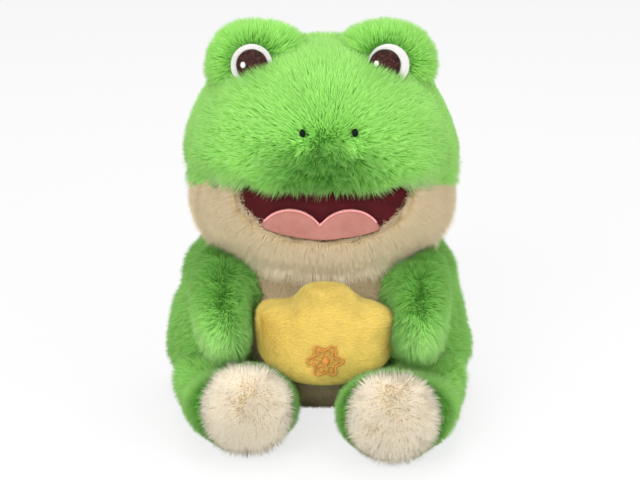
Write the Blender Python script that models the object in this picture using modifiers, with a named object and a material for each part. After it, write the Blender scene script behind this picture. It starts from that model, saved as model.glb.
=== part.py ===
"""Seated plush frog with a cushion ingot on its belly.

Run with: blender --background --python part.py

Metres, +Z up. The frog faces -Y and sits on the plane z = 0, and its own left is +X. Every stuffed
piece is a soft form: a plush shell whose outside is the mean height of the pile, with its filling as a
second solid inside. A form is trimmed by the larger ones that it is sewn to.
"""
import math
from collections import namedtuple

import bmesh
import bpy
from mathutils import Matrix, Vector
from mathutils.bvhtree import BVHTree

for old_object in list(bpy.data.objects):
    bpy.data.objects.remove(old_object, do_unlink=True)

# Fabrics and the space between sewn neighbours
GAP = 0.0003
PLUSH_THICKNESS = 0.0062
SHORT_PLUSH_THICKNESS = 0.0032
LINING_THICKNESS = 0.0018
TONGUE_THICKNESS = 0.0016
THREAD_LIFT = 0.0005
FLAT_DEPTH = 0.0005
CUT_REACH = 0.3

# Body, a pear that is widest near the seat
TORSO_HALF_WIDTH = 0.0900
TORSO_FRONT_DEPTH = 0.0700
TORSO_BACK_DEPTH = 0.0640
TORSO_CENTRE_HEIGHT = 0.0600
TORSO_TOP_HEIGHT = 0.0660
TORSO_TOP_FULLNESS_SHARE = 2.2
TORSO_BOTTOM_FULLNESS_SHARE = 3.6
TORSO_TAPER_SHARE = 0.14
PELLET_HEIGHT = 0.022
BELLY_HALF_WIDTH = 0.043
BELLY_HALF_HEIGHT = 0.0660
BELLY_RISE = 0.0080

# Neck seam, a plane that slopes down to the front
NECK_HEIGHT = 0.1085
NECK_BACK = 0.005
NECK_TILT = 17.0

# Upper head with the muzzle
HEAD_HALF_WIDTH = 0.0840
HEAD_FRONT_DEPTH = 0.0880
HEAD_BACK_DEPTH = 0.0660
HEAD_RISE = 0.0485
HEAD_TOP_HEIGHT = 0.0665
HEAD_BOTTOM_HEIGHT = 0.0210
HEAD_TOP_FULLNESS_SHARE = 2.15
HEAD_BOTTOM_FULLNESS_SHARE = 2.5
HEAD_TAPER_SHARE = 0.02
HEAD_TILT = -3.0
HEAD_SHIFT = 0.0015
THROAT_HALF_WIDTH = 0.054
THROAT_HALF_DEPTH = 0.040
THROAT_HALF_HEIGHT = 0.0125
THROAT_FULLNESS_SHARE = 4.0

# Lower jaw and nape, one form in two covers
JAW_HALF_WIDTH = 0.0825
JAW_FRONT_DEPTH = 0.0820
JAW_BACK_DEPTH = 0.0635
JAW_RISE = 0.0305
JAW_TOP_HEIGHT = 0.0450
JAW_BOTTOM_HEIGHT = 0.0460
JAW_TOP_FULLNESS_SHARE = 2.5
JAW_BOTTOM_FULLNESS_SHARE = 2.8
HEAD_TURN_CLEARANCE = 0.0025
NAPE_SEAM_BACK = 0.022

# Mouth, tongue and nostrils
MOUTH_HALF_WIDTH = 0.0520
MOUTH_SHIFT = 0.0022
MOUTH_RAISE = 0.0045
MOUTH_DROP = 0.0275
MOUTH_RISE = 0.0120
MOUTH_FULLNESS_SHARE = 2.4
LINING_MARGIN = 0.0040
TONGUE_LOBE_HALF_WIDTH = 0.0195
TONGUE_LOBE_SPREAD = 0.0165
TONGUE_LOBE_HEIGHT = 0.0180
TONGUE_ROOT_CLEARANCE = 0.0005
TONGUE_FRONT_INSET = 0.0040
EDGING_RADIUS = 0.0008
EDGING_MARGIN = 0.0012
NOSTRIL_SPREAD = 0.0150
NOSTRIL_SHIFT = 0.0050
NOSTRIL_RAISE = 0.0245
NOSTRIL_HALF_WIDTH = 0.0016
NOSTRIL_HALF_HEIGHT = 0.0022
NOSTRIL_RISE = 0.0014

# Eye mounds and eyes
MOUND_SPREAD = 0.0400
MOUND_FORWARD = 0.0100
MOUND_SINK = 0.0175
MOUND_HALF_WIDTH = 0.0305
MOUND_DEPTH = 0.0290
MOUND_HEIGHT = 0.0300
MOUND_FULLNESS_SHARE = 2.1
EYE_TILT = 14.0
EYE_RADIUS = 0.0122
EYE_THICKNESS = 0.0020
EYE_POCKET_DEPTH = 0.0036
PUPIL_RADIUS = 0.0088
PUPIL_THICKNESS = 0.0010
PUPIL_SHIFT_LEFT = 0.0020
PUPIL_SHIFT_RIGHT = 0.0
GLINT_RADIUS = 0.0016
GLINT_THICKNESS = 0.0005
GLINT_OFFSET = 0.0052
GLINT_ANGLE = 182.0
DISC_BEVEL_SHARE = 0.35

# Arms: the first and last values are the ends, the two between them pull the smooth curve through
SHOULDER_SPREAD = 0.0580
SHOULDER_FORWARD = 0.0130
SHOULDER_HEIGHT = 0.0880
SHOULDER_RADIUS = 0.0210
ELBOW_SPREAD = 0.0620
ELBOW_FORWARD = 0.0450
ELBOW_HEIGHT = 0.0870
ELBOW_RADIUS = 0.0200
WRIST_SPREAD = 0.0580
WRIST_FORWARD = 0.0800
WRIST_HEIGHT = 0.0800
WRIST_RADIUS = 0.0195
HAND_SPREAD_LEFT = 0.0560
HAND_SPREAD_RIGHT = 0.0530
HAND_FORWARD = 0.1060
HAND_HEIGHT = 0.0520
HAND_RADIUS = 0.0215
SHOULDER_FULLNESS_SHARE = 3.0
HAND_FULLNESS_SHARE = 2.8

# Legs and soles: as for the arms, the shin and ankle values pull the curve and lie inside the leg
HIP_SPREAD = 0.0520
HIP_FORWARD = 0.0180
HIP_HALF_WIDTH = 0.0410
HIP_HALF_HEIGHT = 0.0290
SHIN_SPREAD = 0.0500
SHIN_FORWARD = 0.0600
SHIN_HALF_WIDTH = 0.0360
SHIN_HALF_HEIGHT = 0.0130
ANKLE_SPREAD = 0.0450
ANKLE_BACK = 0.0400
ANKLE_HALF_WIDTH = 0.0240
ANKLE_HALF_HEIGHT = 0.0170
FOOT_SPREAD = 0.0415
FOOT_REACH_LEFT = 0.1400
FOOT_REACH_RIGHT = 0.1280
FOOT_HALF_WIDTH = 0.0315
FOOT_HALF_HEIGHT = 0.0315
HIP_FULLNESS_SHARE = 3.0
FOOT_FULLNESS_SHARE = 9.0
SOLE_TILT = 8.0
SOLE_CUT_BACK = 0.0060
SOLE_DROP = 0.0010
SOLE_RADIUS = 0.0252
SOLE_DOME = 0.0120
SOLE_FULLNESS_SHARE = 2.3

# Cushion ingot
INGOT_SHIFT = 0.0030
INGOT_FORWARD = 0.0830
INGOT_CENTRE_HEIGHT = 0.0615
INGOT_HALF_WIDTH = 0.0390
INGOT_HALF_DEPTH = 0.0195
INGOT_TOP_HEIGHT = 0.0245
INGOT_BOTTOM_HEIGHT = 0.0290
INGOT_TOP_FULLNESS_SHARE = 5.0
INGOT_BOTTOM_FULLNESS_SHARE = 2.4
DOME_HALF_WIDTH = 0.0195
DOME_HALF_DEPTH = 0.0120
DOME_RAISE = 0.0185
DOME_HEIGHT = 0.0120
MOTIF_DROP = 0.0090
MOTIF_RADIUS = 0.0085
MOTIF_WAVE = 0.0018
MOTIF_STROKE_RADIUS = 0.0008
MOTIF_CENTRE_RADIUS = 0.0026
MOTIF_CENTRE_RISE = 0.0012
MOTIF_PETALS = 6

# Facets, and the angle that a fold keeps sharp
FOLD_ANGLE = 50.0
LARGE_SEGMENTS, LARGE_RINGS = 32, 16
MEDIUM_SEGMENTS, MEDIUM_RINGS = 28, 14
LIMB_SEGMENTS, LIMB_RINGS = 18, 12
SMALL_SEGMENTS, SMALL_RINGS = 16, 10
INNER_SEGMENTS, INNER_RINGS = 14, 8
DOT_SEGMENTS, DOT_RINGS = 10, 6
DISC_SIDES = 24
GLINT_SIDES = 12
OUTLINE_STEPS = 24
MOTIF_STEPS = 42

# Heights above the seat that follow from those values
BELLY_CENTRE_HEIGHT = TORSO_CENTRE_HEIGHT + BELLY_RISE
HEAD_CENTRE_HEIGHT = NECK_HEIGHT + HEAD_RISE
JAW_CENTRE_HEIGHT = NECK_HEIGHT + JAW_RISE
MOUTH_CORNER_HEIGHT = JAW_CENTRE_HEIGHT + MOUTH_RAISE
TONGUE_BASE_HEIGHT = MOUTH_CORNER_HEIGHT - MOUTH_DROP + TONGUE_ROOT_CLEARANCE
NOSTRIL_HEIGHT = HEAD_CENTRE_HEIGHT + NOSTRIL_RAISE
MOUND_CENTRE_HEIGHT = HEAD_CENTRE_HEIGHT + HEAD_TOP_HEIGHT - MOUND_SINK
DOME_CENTRE_HEIGHT = INGOT_CENTRE_HEIGHT + DOME_RAISE
MOTIF_HEIGHT = INGOT_CENTRE_HEIGHT - MOTIF_DROP
SOLE_HEIGHT = FOOT_HALF_HEIGHT - FLAT_DEPTH - SOLE_DROP

UP = Vector((0, 0, 1))
ROUND = 2.0
SIDES = {"left": 1, "right": -1}

# Each piece's colour, roughness and metallic value
GREEN_PLUSH = ((0.16, 0.50, 0.07), 0.90, 0.0)
CREAM_PLUSH = ((0.78, 0.68, 0.50), 0.90, 0.0)
YELLOW_PLUSH = ((0.83, 0.60, 0.12), 0.85, 0.0)
FILLING = ((0.86, 0.86, 0.84), 0.95, 0.0)
PELLETS = ((0.62, 0.62, 0.60), 0.60, 0.0)
WHITE_SATIN = ((0.86, 0.86, 0.83), 0.45, 0.0)
BROWN_THREAD = ((0.07, 0.02, 0.015), 0.55, 0.0)
WHITE_THREAD = ((0.88, 0.88, 0.86), 0.50, 0.0)
DARK_THREAD = ((0.01, 0.03, 0.012), 0.55, 0.0)
RED_VELVET = ((0.16, 0.006, 0.012), 0.85, 0.0)
PINK_VELVET = ((0.68, 0.28, 0.26), 0.85, 0.0)
PINK_THREAD = ((0.80, 0.30, 0.36), 0.45, 0.0)
ORANGE_THREAD = ((0.75, 0.32, 0.06), 0.50, 0.0)

Pillow = namedtuple("Pillow", "centre half_width front_depth back_depth top_height bottom_height"
                              " top_fullness_share bottom_fullness_share taper_share tilt segments rings")
Limb = namedtuple("Limb", "points sizes start_fullness_share end_fullness_share upright segments rings")


def collection(name):
    """A new collection in the scene."""
    made = bpy.data.collections.new(name)
    bpy.context.scene.collection.children.link(made)
    return made


PARTS = collection("plush_frog")
CUTTERS = collection("cutters")


def fuller(value, fullness_share):
    """A sine or cosine of a circle turned into that of a fuller curve; ROUND is an ellipse."""
    return math.copysign(abs(value) ** (ROUND / fullness_share), value)


def spread_of(unit, fullness_share):
    """How much a unit sphere's ring widens on a fuller form."""
    ring = math.hypot(unit.x, unit.y)
    return fuller(ring, fullness_share) / ring if ring else 0


def pillow_point(form, unit, inset):
    """A point of the unit sphere moved to a pillow: an egg in plan, with its own crown and base."""
    top = unit.z > 0
    fullness = form.top_fullness_share if top else form.bottom_fullness_share
    rise = fuller(unit.z, fullness)
    spread = spread_of(unit, fullness) * (1 - form.taper_share * rise)
    width = form.half_width - inset
    depth = (form.front_depth if unit.y < 0 else form.back_depth) - inset
    height = (form.top_height if top else form.bottom_height) - inset
    local = Vector((unit.x * spread * width, unit.y * spread * depth, rise * height))
    return Matrix.Rotation(math.radians(form.tilt), 3, "X") @ local


def bent(values, share):
    """A smooth curve from the first to the last of some values, pulled by those between."""
    while len(values) > 1:
        values = [first.lerp(second, share) for first, second in zip(values, values[1:])]
    return values[0]


def limb_point(form, unit, inset):
    """A point of the unit sphere moved to a limb that bends and tapers; the poles are its ends.

    The sections of an upright limb stay upright, and those of others lie square to its curve.
    """
    fullness = form.end_fullness_share if unit.z > 0 else form.start_fullness_share
    steps = [second - first for first, second in zip(form.points, form.points[1:])]
    start_share = inset / (len(steps) * steps[0].length)
    end_share = 1 - inset / (len(steps) * steps[-1].length)
    share = start_share + (end_share - start_share) * (1 + fuller(unit.z, fullness)) / 2
    ahead = bent(steps, share).normalized()
    side = ahead.cross(UP).normalized()
    lift = UP if form.upright else side.cross(ahead)
    size = (bent(form.sizes, share) - Vector((inset, inset))) * spread_of(unit, fullness)
    return bent(form.points, share) - form.points[0] + lift * unit.x * size.y + side * unit.y * size.x


def form_place(form):
    """The origin of a form's object."""
    return form.centre if isinstance(form, Pillow) else form.points[0]


def form_mesh(form, inset=0.0, coarse=False):
    """A form as a closed triangle mesh about its own origin, with all its sizes less an inset."""
    segments = INNER_SEGMENTS if coarse else form.segments
    rings = INNER_RINGS if coarse else form.rings
    shape = bmesh.new()
    bmesh.ops.create_uvsphere(shape, u_segments=segments, v_segments=rings, radius=1)
    place = pillow_point if isinstance(form, Pillow) else limb_point
    for vertex in shape.verts:
        vertex.co = place(form, vertex.co, inset)
    bmesh.ops.triangulate(shape, faces=shape.faces)
    shape.normal_update()
    return shape


def material(name, finish):
    """A plain Principled material."""
    colour, roughness, metallic = finish
    made = bpy.data.materials.new(name)
    made.use_nodes = True
    shader = made.node_tree.nodes["Principled BSDF"]
    shader.inputs["Base Color"].default_value = (*colour, 1)
    shader.inputs["Roughness"].default_value = roughness
    shader.inputs["Metallic"].default_value = metallic
    made.diffuse_color = (*colour, 1)
    return made


def add_object(name, data, place, finish=None, parent=None):
    """Puts a mesh in the scene: as a part with its finish, or as a hidden cutter without one."""
    made = bpy.data.objects.new(name, data)
    made.location = place
    if finish is None:
        CUTTERS.objects.link(made)
        made.hide_render = True
        made.display_type = "WIRE"
        return made
    PARTS.objects.link(made)
    data.materials.clear()
    data.materials.append(material(name, finish))
    data.shade_smooth()
    data.set_sharp_from_angle(angle=math.radians(FOLD_ANGLE))
    if parent:
        made.parent = parent
        made.matrix_parent_inverse = parent.matrix_basis.inverted()
    return made


def mesh_of(shape, name):
    """A bmesh turned into mesh data."""
    data = bpy.data.meshes.new(name)
    shape.to_mesh(data)
    shape.free()
    return data


def form_object(name, form, inset=0.0, coarse=False, finish=None, parent=None):
    """A form as an object."""
    return add_object(name, mesh_of(form_mesh(form, inset, coarse), name), form_place(form), finish, parent)


def box_cutter(name, place, turn=0.0, side=1):
    """A large box above (side 1) or below (side -1) a plane through a place, tilted about X."""
    shape = bmesh.new()
    bmesh.ops.create_cube(shape, size=2 * CUT_REACH)
    bmesh.ops.translate(shape, verts=shape.verts, vec=(0, 0, side * CUT_REACH))
    made = add_object(name, mesh_of(shape, name), place)
    made.rotation_euler.x = math.radians(turn)
    return made


def outline_cutter(name, points, front, back):
    """A flat outline in X and Z, extruded along Y between two depths."""
    curve = bpy.data.curves.new(name, "CURVE")
    curve.dimensions = "2D"
    curve.fill_mode = "BOTH"
    curve.extrude = (back - front) / 2
    line = curve.splines.new("POLY")
    line.points.add(len(points) - 1)
    for point, (across, up) in zip(line.points, points):
        point.co = (across, up, 0, 1)
    line.use_cyclic_u = True
    guide = bpy.data.objects.new(name, curve)
    CUTTERS.objects.link(guide)
    data = bpy.data.meshes.new_from_object(guide.evaluated_get(bpy.context.evaluated_depsgraph_get()))
    bpy.data.objects.remove(guide)
    shape = bmesh.new()
    shape.from_mesh(data)
    bmesh.ops.remove_doubles(shape, verts=shape.verts, dist=GAP / 3)
    bmesh.ops.recalc_face_normals(shape, faces=shape.faces)
    shape.to_mesh(data)
    shape.free()
    made = add_object(name, data, (0, (front + back) / 2, 0))
    made.rotation_euler.x = math.radians(90)
    return made


def cut(piece, *cutters, operation="DIFFERENCE"):
    """Trims a piece by each cutter in turn."""
    for cutter in cutters:
        modifier = piece.modifiers.new(cutter.name, "BOOLEAN")
        modifier.operation = operation
        modifier.solver = "EXACT"
        modifier.object = cutter
    return piece


def hinge_empty(name, place, tilt=0.0):
    """An empty on a seam that a piece turns on, with its Z along the hinge."""
    made = bpy.data.objects.new(name, None)
    PARTS.objects.link(made)
    made.matrix_basis = Matrix.Translation(place) @ Matrix.Rotation(math.radians(tilt), 4, "X")
    return made


def front_of(form, across, up, inset=0.0, coarse=False):
    """The point and the normal where a form's front meets a line along Y, in world places."""
    shape = form_mesh(form, inset, coarse)
    tree = BVHTree.FromBMesh(shape)
    place = form_place(form)
    start = Vector((across, -CUT_REACH, up)) - place
    point, normal, _, _ = tree.ray_cast(start, Vector((0, 1, 0)))
    shape.free()
    return point + place, normal


def outline(half_width, top, drop, fullness_share, centre_height, shift=0.0):
    """A smile: a full half ellipse below its corners and a shallow one above them, moved to +X by shift."""
    points = []
    for step in range(2 * OUTLINE_STEPS):
        angle = math.pi * step / OUTLINE_STEPS
        across = shift + fuller(math.cos(angle), fullness_share) * half_width
        height = top if math.sin(angle) > 0 else drop
        points.append((across, centre_height + fuller(math.sin(angle), fullness_share) * height))
    return points


def lobe_top(across):
    """The height of the tongue's two lobes at a place across."""
    from_lobe = (abs(across) - TONGUE_LOBE_SPREAD) / TONGUE_LOBE_HALF_WIDTH
    return TONGUE_BASE_HEIGHT + TONGUE_LOBE_HEIGHT * math.sqrt(max(0.0, 1 - from_lobe ** 2))


def tube(name, points, radius, closed, finish, parent=None):
    """A round thread along points, as a mesh with welded caps."""
    curve = bpy.data.curves.new(name, "CURVE")
    curve.dimensions = "3D"
    curve.bevel_depth = radius
    curve.bevel_resolution = 1
    curve.use_fill_caps = True
    line = curve.splines.new("POLY")
    line.points.add(len(points) - 1)
    for point, place in zip(line.points, points):
        point.co = (*(place - points[0]), 1)
    line.use_cyclic_u = closed
    guide = bpy.data.objects.new(name, curve)
    CUTTERS.objects.link(guide)
    data = bpy.data.meshes.new_from_object(guide.evaluated_get(bpy.context.evaluated_depsgraph_get()))
    bpy.data.objects.remove(guide)
    shape = bmesh.new()
    shape.from_mesh(data)
    bmesh.ops.remove_doubles(shape, verts=shape.verts, dist=GAP / 3)
    shape.to_mesh(data)
    shape.free()
    return add_object(name, data, points[0], finish, parent)


def disc(name, radius, thickness, place, tilt, finish, parent=None, sides=DISC_SIDES):
    """A flat round piece with a softened rim; it faces -Y, turned up by a tilt."""
    shape = bmesh.new()
    bmesh.ops.create_cone(shape, cap_ends=True, segments=sides, radius1=radius, radius2=radius,
                          depth=thickness)
    made = add_object(name, mesh_of(shape, name), place, finish, parent)
    made.rotation_euler.x = math.radians(90 - tilt)
    if finish is not None:
        rim = made.modifiers.new("soft rim", "BEVEL")
        rim.width = thickness * DISC_BEVEL_SHARE
        rim.segments = 1
    return made


# The forms

neck_place = Vector((0, NECK_BACK, NECK_HEIGHT))
neck_axis = Matrix.Rotation(math.radians(NECK_TILT), 3, "X") @ UP
head_turn = hinge_empty("neck_seam", neck_place, NECK_TILT)

torso = Pillow(Vector((0, 0, TORSO_CENTRE_HEIGHT)), TORSO_HALF_WIDTH, TORSO_FRONT_DEPTH, TORSO_BACK_DEPTH,
               TORSO_TOP_HEIGHT, TORSO_CENTRE_HEIGHT + FLAT_DEPTH, TORSO_TOP_FULLNESS_SHARE,
               TORSO_BOTTOM_FULLNESS_SHARE, TORSO_TAPER_SHARE, 0.0, MEDIUM_SEGMENTS, MEDIUM_RINGS)
head = Pillow(Vector((HEAD_SHIFT, 0, HEAD_CENTRE_HEIGHT)), HEAD_HALF_WIDTH, HEAD_FRONT_DEPTH, HEAD_BACK_DEPTH,
              HEAD_TOP_HEIGHT, HEAD_BOTTOM_HEIGHT, HEAD_TOP_FULLNESS_SHARE, HEAD_BOTTOM_FULLNESS_SHARE,
              HEAD_TAPER_SHARE, HEAD_TILT, LARGE_SEGMENTS, LARGE_RINGS)
jaw = Pillow(Vector((HEAD_SHIFT, 0, JAW_CENTRE_HEIGHT)), JAW_HALF_WIDTH, JAW_FRONT_DEPTH, JAW_BACK_DEPTH,
             JAW_TOP_HEIGHT, JAW_BOTTOM_HEIGHT, JAW_TOP_FULLNESS_SHARE, JAW_BOTTOM_FULLNESS_SHARE,
             0.0, NECK_TILT, MEDIUM_SEGMENTS, MEDIUM_RINGS)
ingot = Pillow(Vector((INGOT_SHIFT, -INGOT_FORWARD, INGOT_CENTRE_HEIGHT)), INGOT_HALF_WIDTH,
               INGOT_HALF_DEPTH, INGOT_HALF_DEPTH, INGOT_TOP_HEIGHT, INGOT_BOTTOM_HEIGHT,
               INGOT_TOP_FULLNESS_SHARE, INGOT_BOTTOM_FULLNESS_SHARE, 0.0, 0.0, SMALL_SEGMENTS, SMALL_RINGS)
dome = Pillow(Vector((INGOT_SHIFT, -INGOT_FORWARD, DOME_CENTRE_HEIGHT)), DOME_HALF_WIDTH, DOME_HALF_DEPTH,
              DOME_HALF_DEPTH, DOME_HEIGHT, DOME_HEIGHT, ROUND, ROUND, 0.0, 0.0, SMALL_SEGMENTS, SMALL_RINGS)


def mound_form(side):
    """The mound that carries an eye."""
    return Pillow(Vector((side * MOUND_SPREAD, -MOUND_FORWARD, MOUND_CENTRE_HEIGHT)), MOUND_HALF_WIDTH,
                  MOUND_DEPTH, MOUND_DEPTH, MOUND_HEIGHT, MOUND_HEIGHT, MOUND_FULLNESS_SHARE,
                  MOUND_FULLNESS_SHARE, 0.0, 0.0, SMALL_SEGMENTS, SMALL_RINGS)


def arm_form(side, hand_spread):
    """An arm from the shoulder seam to the hand."""
    points = [Vector((side * SHOULDER_SPREAD, -SHOULDER_FORWARD, SHOULDER_HEIGHT)),
              Vector((side * ELBOW_SPREAD, -ELBOW_FORWARD, ELBOW_HEIGHT)),
              Vector((side * WRIST_SPREAD, -WRIST_FORWARD, WRIST_HEIGHT)),
              Vector((side * hand_spread, -HAND_FORWARD, HAND_HEIGHT))]
    radii = (SHOULDER_RADIUS, ELBOW_RADIUS, WRIST_RADIUS, HAND_RADIUS)
    sizes = [Vector((radius, radius)) for radius in radii]
    return Limb(points, sizes, SHOULDER_FULLNESS_SHARE, HAND_FULLNESS_SHARE, False, LIMB_SEGMENTS,
                LIMB_RINGS)


def leg_form(side, foot_reach):
    """A leg from the hip seam to the foot, whose whole underside lies on the seat's plane."""
    sizes = [Vector((HIP_HALF_WIDTH, HIP_HALF_HEIGHT)), Vector((SHIN_HALF_WIDTH, SHIN_HALF_HEIGHT)),
             Vector((ANKLE_HALF_WIDTH, ANKLE_HALF_HEIGHT)), Vector((FOOT_HALF_WIDTH, FOOT_HALF_HEIGHT))]
    spreads = (HIP_SPREAD, SHIN_SPREAD, ANKLE_SPREAD, FOOT_SPREAD)
    reaches = (HIP_FORWARD, SHIN_FORWARD, foot_reach - ANKLE_BACK, foot_reach)
    points = [Vector((side * spread, -reach, size.y - FLAT_DEPTH))
              for spread, reach, size in zip(spreads, reaches, sizes)]
    return Limb(points, sizes, HIP_FULLNESS_SHARE, FOOT_FULLNESS_SHARE, True, LIMB_SEGMENTS, LIMB_RINGS)


# The cutters that the pieces share

torso_cutter = form_object("torso_cutter", torso, -GAP)
head_cutter = form_object("head_cutter", head, -GAP)
ingot_cutter = form_object("ingot_cutter", ingot, -GAP)
jaw_sweep = form_object("jaw_sweep", jaw, -HEAD_TURN_CLEARANCE)
foot_reach = {"left": FOOT_REACH_LEFT, "right": FOOT_REACH_RIGHT}
legs = {name: leg_form(side, foot_reach[name]) for name, side in SIDES.items()}
leg_cutters = {name: form_object(f"leg_cutter_{name}", leg, -GAP) for name, leg in legs.items()}
above_neck = box_cutter("above_neck", neck_place - neck_axis * (GAP / 2), NECK_TILT, 1)
below_neck = box_cutter("below_neck", neck_place + neck_axis * (GAP / 2), NECK_TILT, -1)
below_seat = box_cutter("below_seat", (0, 0, 0), 0.0, -1)
torso_hollow = form_object("torso_hollow", torso, PLUSH_THICKNESS, True)
jaw_hollow = form_object("jaw_hollow", jaw, PLUSH_THICKNESS, True)

belly_outline = outline(BELLY_HALF_WIDTH, BELLY_HALF_HEIGHT, BELLY_HALF_HEIGHT, ROUND, BELLY_CENTRE_HEIGHT)
belly_gap_outline = outline(BELLY_HALF_WIDTH + GAP, BELLY_HALF_HEIGHT + GAP, BELLY_HALF_HEIGHT + GAP, ROUND,
                            BELLY_CENTRE_HEIGHT)
belly_cutter = outline_cutter("belly_cutter", belly_outline, -CUT_REACH, 0)
belly_hole = outline_cutter("belly_hole", belly_gap_outline, -CUT_REACH, GAP)
mouth_outline = outline(MOUTH_HALF_WIDTH, MOUTH_RISE, MOUTH_DROP, MOUTH_FULLNESS_SHARE,
                        MOUTH_CORNER_HEIGHT, MOUTH_SHIFT)
mouth_cutter = outline_cutter("mouth_cutter", mouth_outline, -CUT_REACH, -NECK_BACK)
mouth_inside = outline(MOUTH_HALF_WIDTH - GAP, MOUTH_RISE, MOUTH_DROP - GAP, MOUTH_FULLNESS_SHARE,
                       MOUTH_CORNER_HEIGHT, MOUTH_SHIFT)
mouth_inside_cutter = outline_cutter("mouth_inside_cutter", mouth_inside, -CUT_REACH, -NECK_BACK)
lining_outline = outline(MOUTH_HALF_WIDTH + LINING_MARGIN, MOUTH_RISE, MOUTH_DROP + LINING_MARGIN,
                         MOUTH_FULLNESS_SHARE, MOUTH_CORNER_HEIGHT, MOUTH_SHIFT)
lining_cutter = outline_cutter("lining_cutter", lining_outline, -CUT_REACH, -NECK_BACK)
tongue_reach = TONGUE_LOBE_SPREAD + TONGUE_LOBE_HALF_WIDTH
tongue_turns = [math.pi * step / OUTLINE_STEPS for step in range(OUTLINE_STEPS + 1)]
tongue_places = [tongue_reach * math.cos(turn) for turn in tongue_turns]
tongue_outline = [(across, lobe_top(across)) for across in tongue_places]
tongue_outline += [(side * tongue_reach, TONGUE_BASE_HEIGHT - MOUTH_DROP) for side in (-1, 1)]
tongue_cutter = outline_cutter("tongue_cutter", tongue_outline, -CUT_REACH, -NECK_BACK)

# Body

torso_skin = form_object("torso_skin", torso, finish=GREEN_PLUSH)
cut(torso_skin, torso_hollow, above_neck, below_seat, belly_hole)
belly_panel = form_object("belly_panel", torso, finish=CREAM_PLUSH)
cut(belly_panel, torso_hollow, above_neck, below_seat)
cut(belly_panel, belly_cutter, operation="INTERSECT")

pellet_top = box_cutter("pellet_top", (0, 0, PELLET_HEIGHT), 0.0, 1)
pellet_below = box_cutter("pellet_below", (0, 0, PELLET_HEIGHT + GAP), 0.0, -1)
torso_stuffing = form_object("torso_stuffing", torso, PLUSH_THICKNESS + GAP, True, FILLING)
cut(torso_stuffing, above_neck, pellet_below)
pellet_bag = form_object("pellet_bag", torso, PLUSH_THICKNESS + GAP, True, PELLETS)
cut(pellet_bag, pellet_top)

# Ingot on the belly

ingot_hollow = form_object("ingot_hollow", ingot, SHORT_PLUSH_THICKNESS)
ingot_skin = form_object("ingot_skin", ingot, finish=YELLOW_PLUSH)
ingot_trims = (torso_cutter, jaw_sweep, *leg_cutters.values())
cut(ingot_skin, ingot_hollow, *ingot_trims)
ingot_stuffing = form_object("ingot_stuffing", ingot, SHORT_PLUSH_THICKNESS + GAP, finish=FILLING)
cut(ingot_stuffing, *ingot_trims)
ingot_dome = form_object("ingot_dome", dome, finish=YELLOW_PLUSH)
cut(ingot_dome, ingot_cutter, torso_cutter, jaw_sweep)

motif_points = []
for step in range(MOTIF_STEPS):
    turn = 2 * math.pi * step / MOTIF_STEPS
    radius = MOTIF_RADIUS + MOTIF_WAVE * math.cos(MOTIF_PETALS * turn)
    across = INGOT_SHIFT + radius * math.cos(turn)
    point, normal = front_of(ingot, across, MOTIF_HEIGHT + radius * math.sin(turn))
    motif_points.append(point + normal * (MOTIF_STROKE_RADIUS + THREAD_LIFT))
tube("ingot_motif", motif_points, MOTIF_STROKE_RADIUS, True, ORANGE_THREAD)


def surface_dot(name, form, cutter, across, up, half_width, half_height, rise, finish, parent=None):
    """A low lens of thread that lies on a form's front."""
    point, _ = front_of(form, across, up)
    lens = Pillow(point, half_width, rise, rise, half_height, half_height, ROUND, ROUND, 0.0, 0.0,
                  DOT_SEGMENTS, DOT_RINGS)
    return cut(form_object(name, lens, finish=finish, parent=parent), cutter)


surface_dot("ingot_motif_centre", ingot, ingot_cutter, INGOT_SHIFT, MOTIF_HEIGHT, MOTIF_CENTRE_RADIUS,
            MOTIF_CENTRE_RADIUS, MOTIF_CENTRE_RISE, ORANGE_THREAD)

# Head

throat_cutter = form_object("throat_cutter", Pillow(
    Vector((0, 0, HEAD_CENTRE_HEIGHT - HEAD_BOTTOM_HEIGHT)), THROAT_HALF_WIDTH, THROAT_HALF_DEPTH,
    THROAT_HALF_DEPTH, THROAT_HALF_HEIGHT, THROAT_HALF_HEIGHT, THROAT_FULLNESS_SHARE, THROAT_FULLNESS_SHARE,
    0.0, 0.0, INNER_SEGMENTS, INNER_RINGS))
head_hollow = form_object("head_hollow", head, PLUSH_THICKNESS, True)
head_skin = form_object("head_skin", head, finish=GREEN_PLUSH, parent=head_turn)
cut(head_skin, head_hollow, throat_cutter)
form_object("head_stuffing", head, PLUSH_THICKNESS + GAP, True, FILLING, head_turn)

behind_jaw = box_cutter("behind_jaw", (0, NAPE_SEAM_BACK, JAW_CENTRE_HEIGHT), -90.0, 1)
before_nape = box_cutter("before_nape", (0, NAPE_SEAM_BACK + GAP, JAW_CENTRE_HEIGHT), -90.0, -1)
jaw_skin = form_object("jaw_skin", jaw, finish=CREAM_PLUSH, parent=head_turn)
cut(jaw_skin, jaw_hollow, head_cutter, below_neck, mouth_cutter, behind_jaw)
nape_skin = form_object("nape_skin", jaw, finish=GREEN_PLUSH, parent=head_turn)
cut(nape_skin, jaw_hollow, head_cutter, below_neck, before_nape)

lining_inset = PLUSH_THICKNESS + GAP
lining_back = form_object("lining_back", jaw, lining_inset + LINING_THICKNESS, True)
mouth_lining = form_object("mouth_lining", jaw, lining_inset, True, RED_VELVET, head_turn)
cut(mouth_lining, lining_back, head_cutter)
cut(mouth_lining, lining_cutter, operation="INTERSECT")
jaw_stuffing = form_object("jaw_stuffing", jaw, lining_inset + LINING_THICKNESS + GAP, True, FILLING,
                           head_turn)
cut(jaw_stuffing, head_cutter, below_neck)

tongue_back = form_object("tongue_back", jaw, TONGUE_FRONT_INSET + TONGUE_THICKNESS, True)
tongue = form_object("tongue", jaw, TONGUE_FRONT_INSET, True, PINK_VELVET, head_turn)
cut(tongue, tongue_back, head_cutter)
cut(tongue, mouth_inside_cutter, tongue_cutter, operation="INTERSECT")

# Nostrils, eye mounds and eyes

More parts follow.
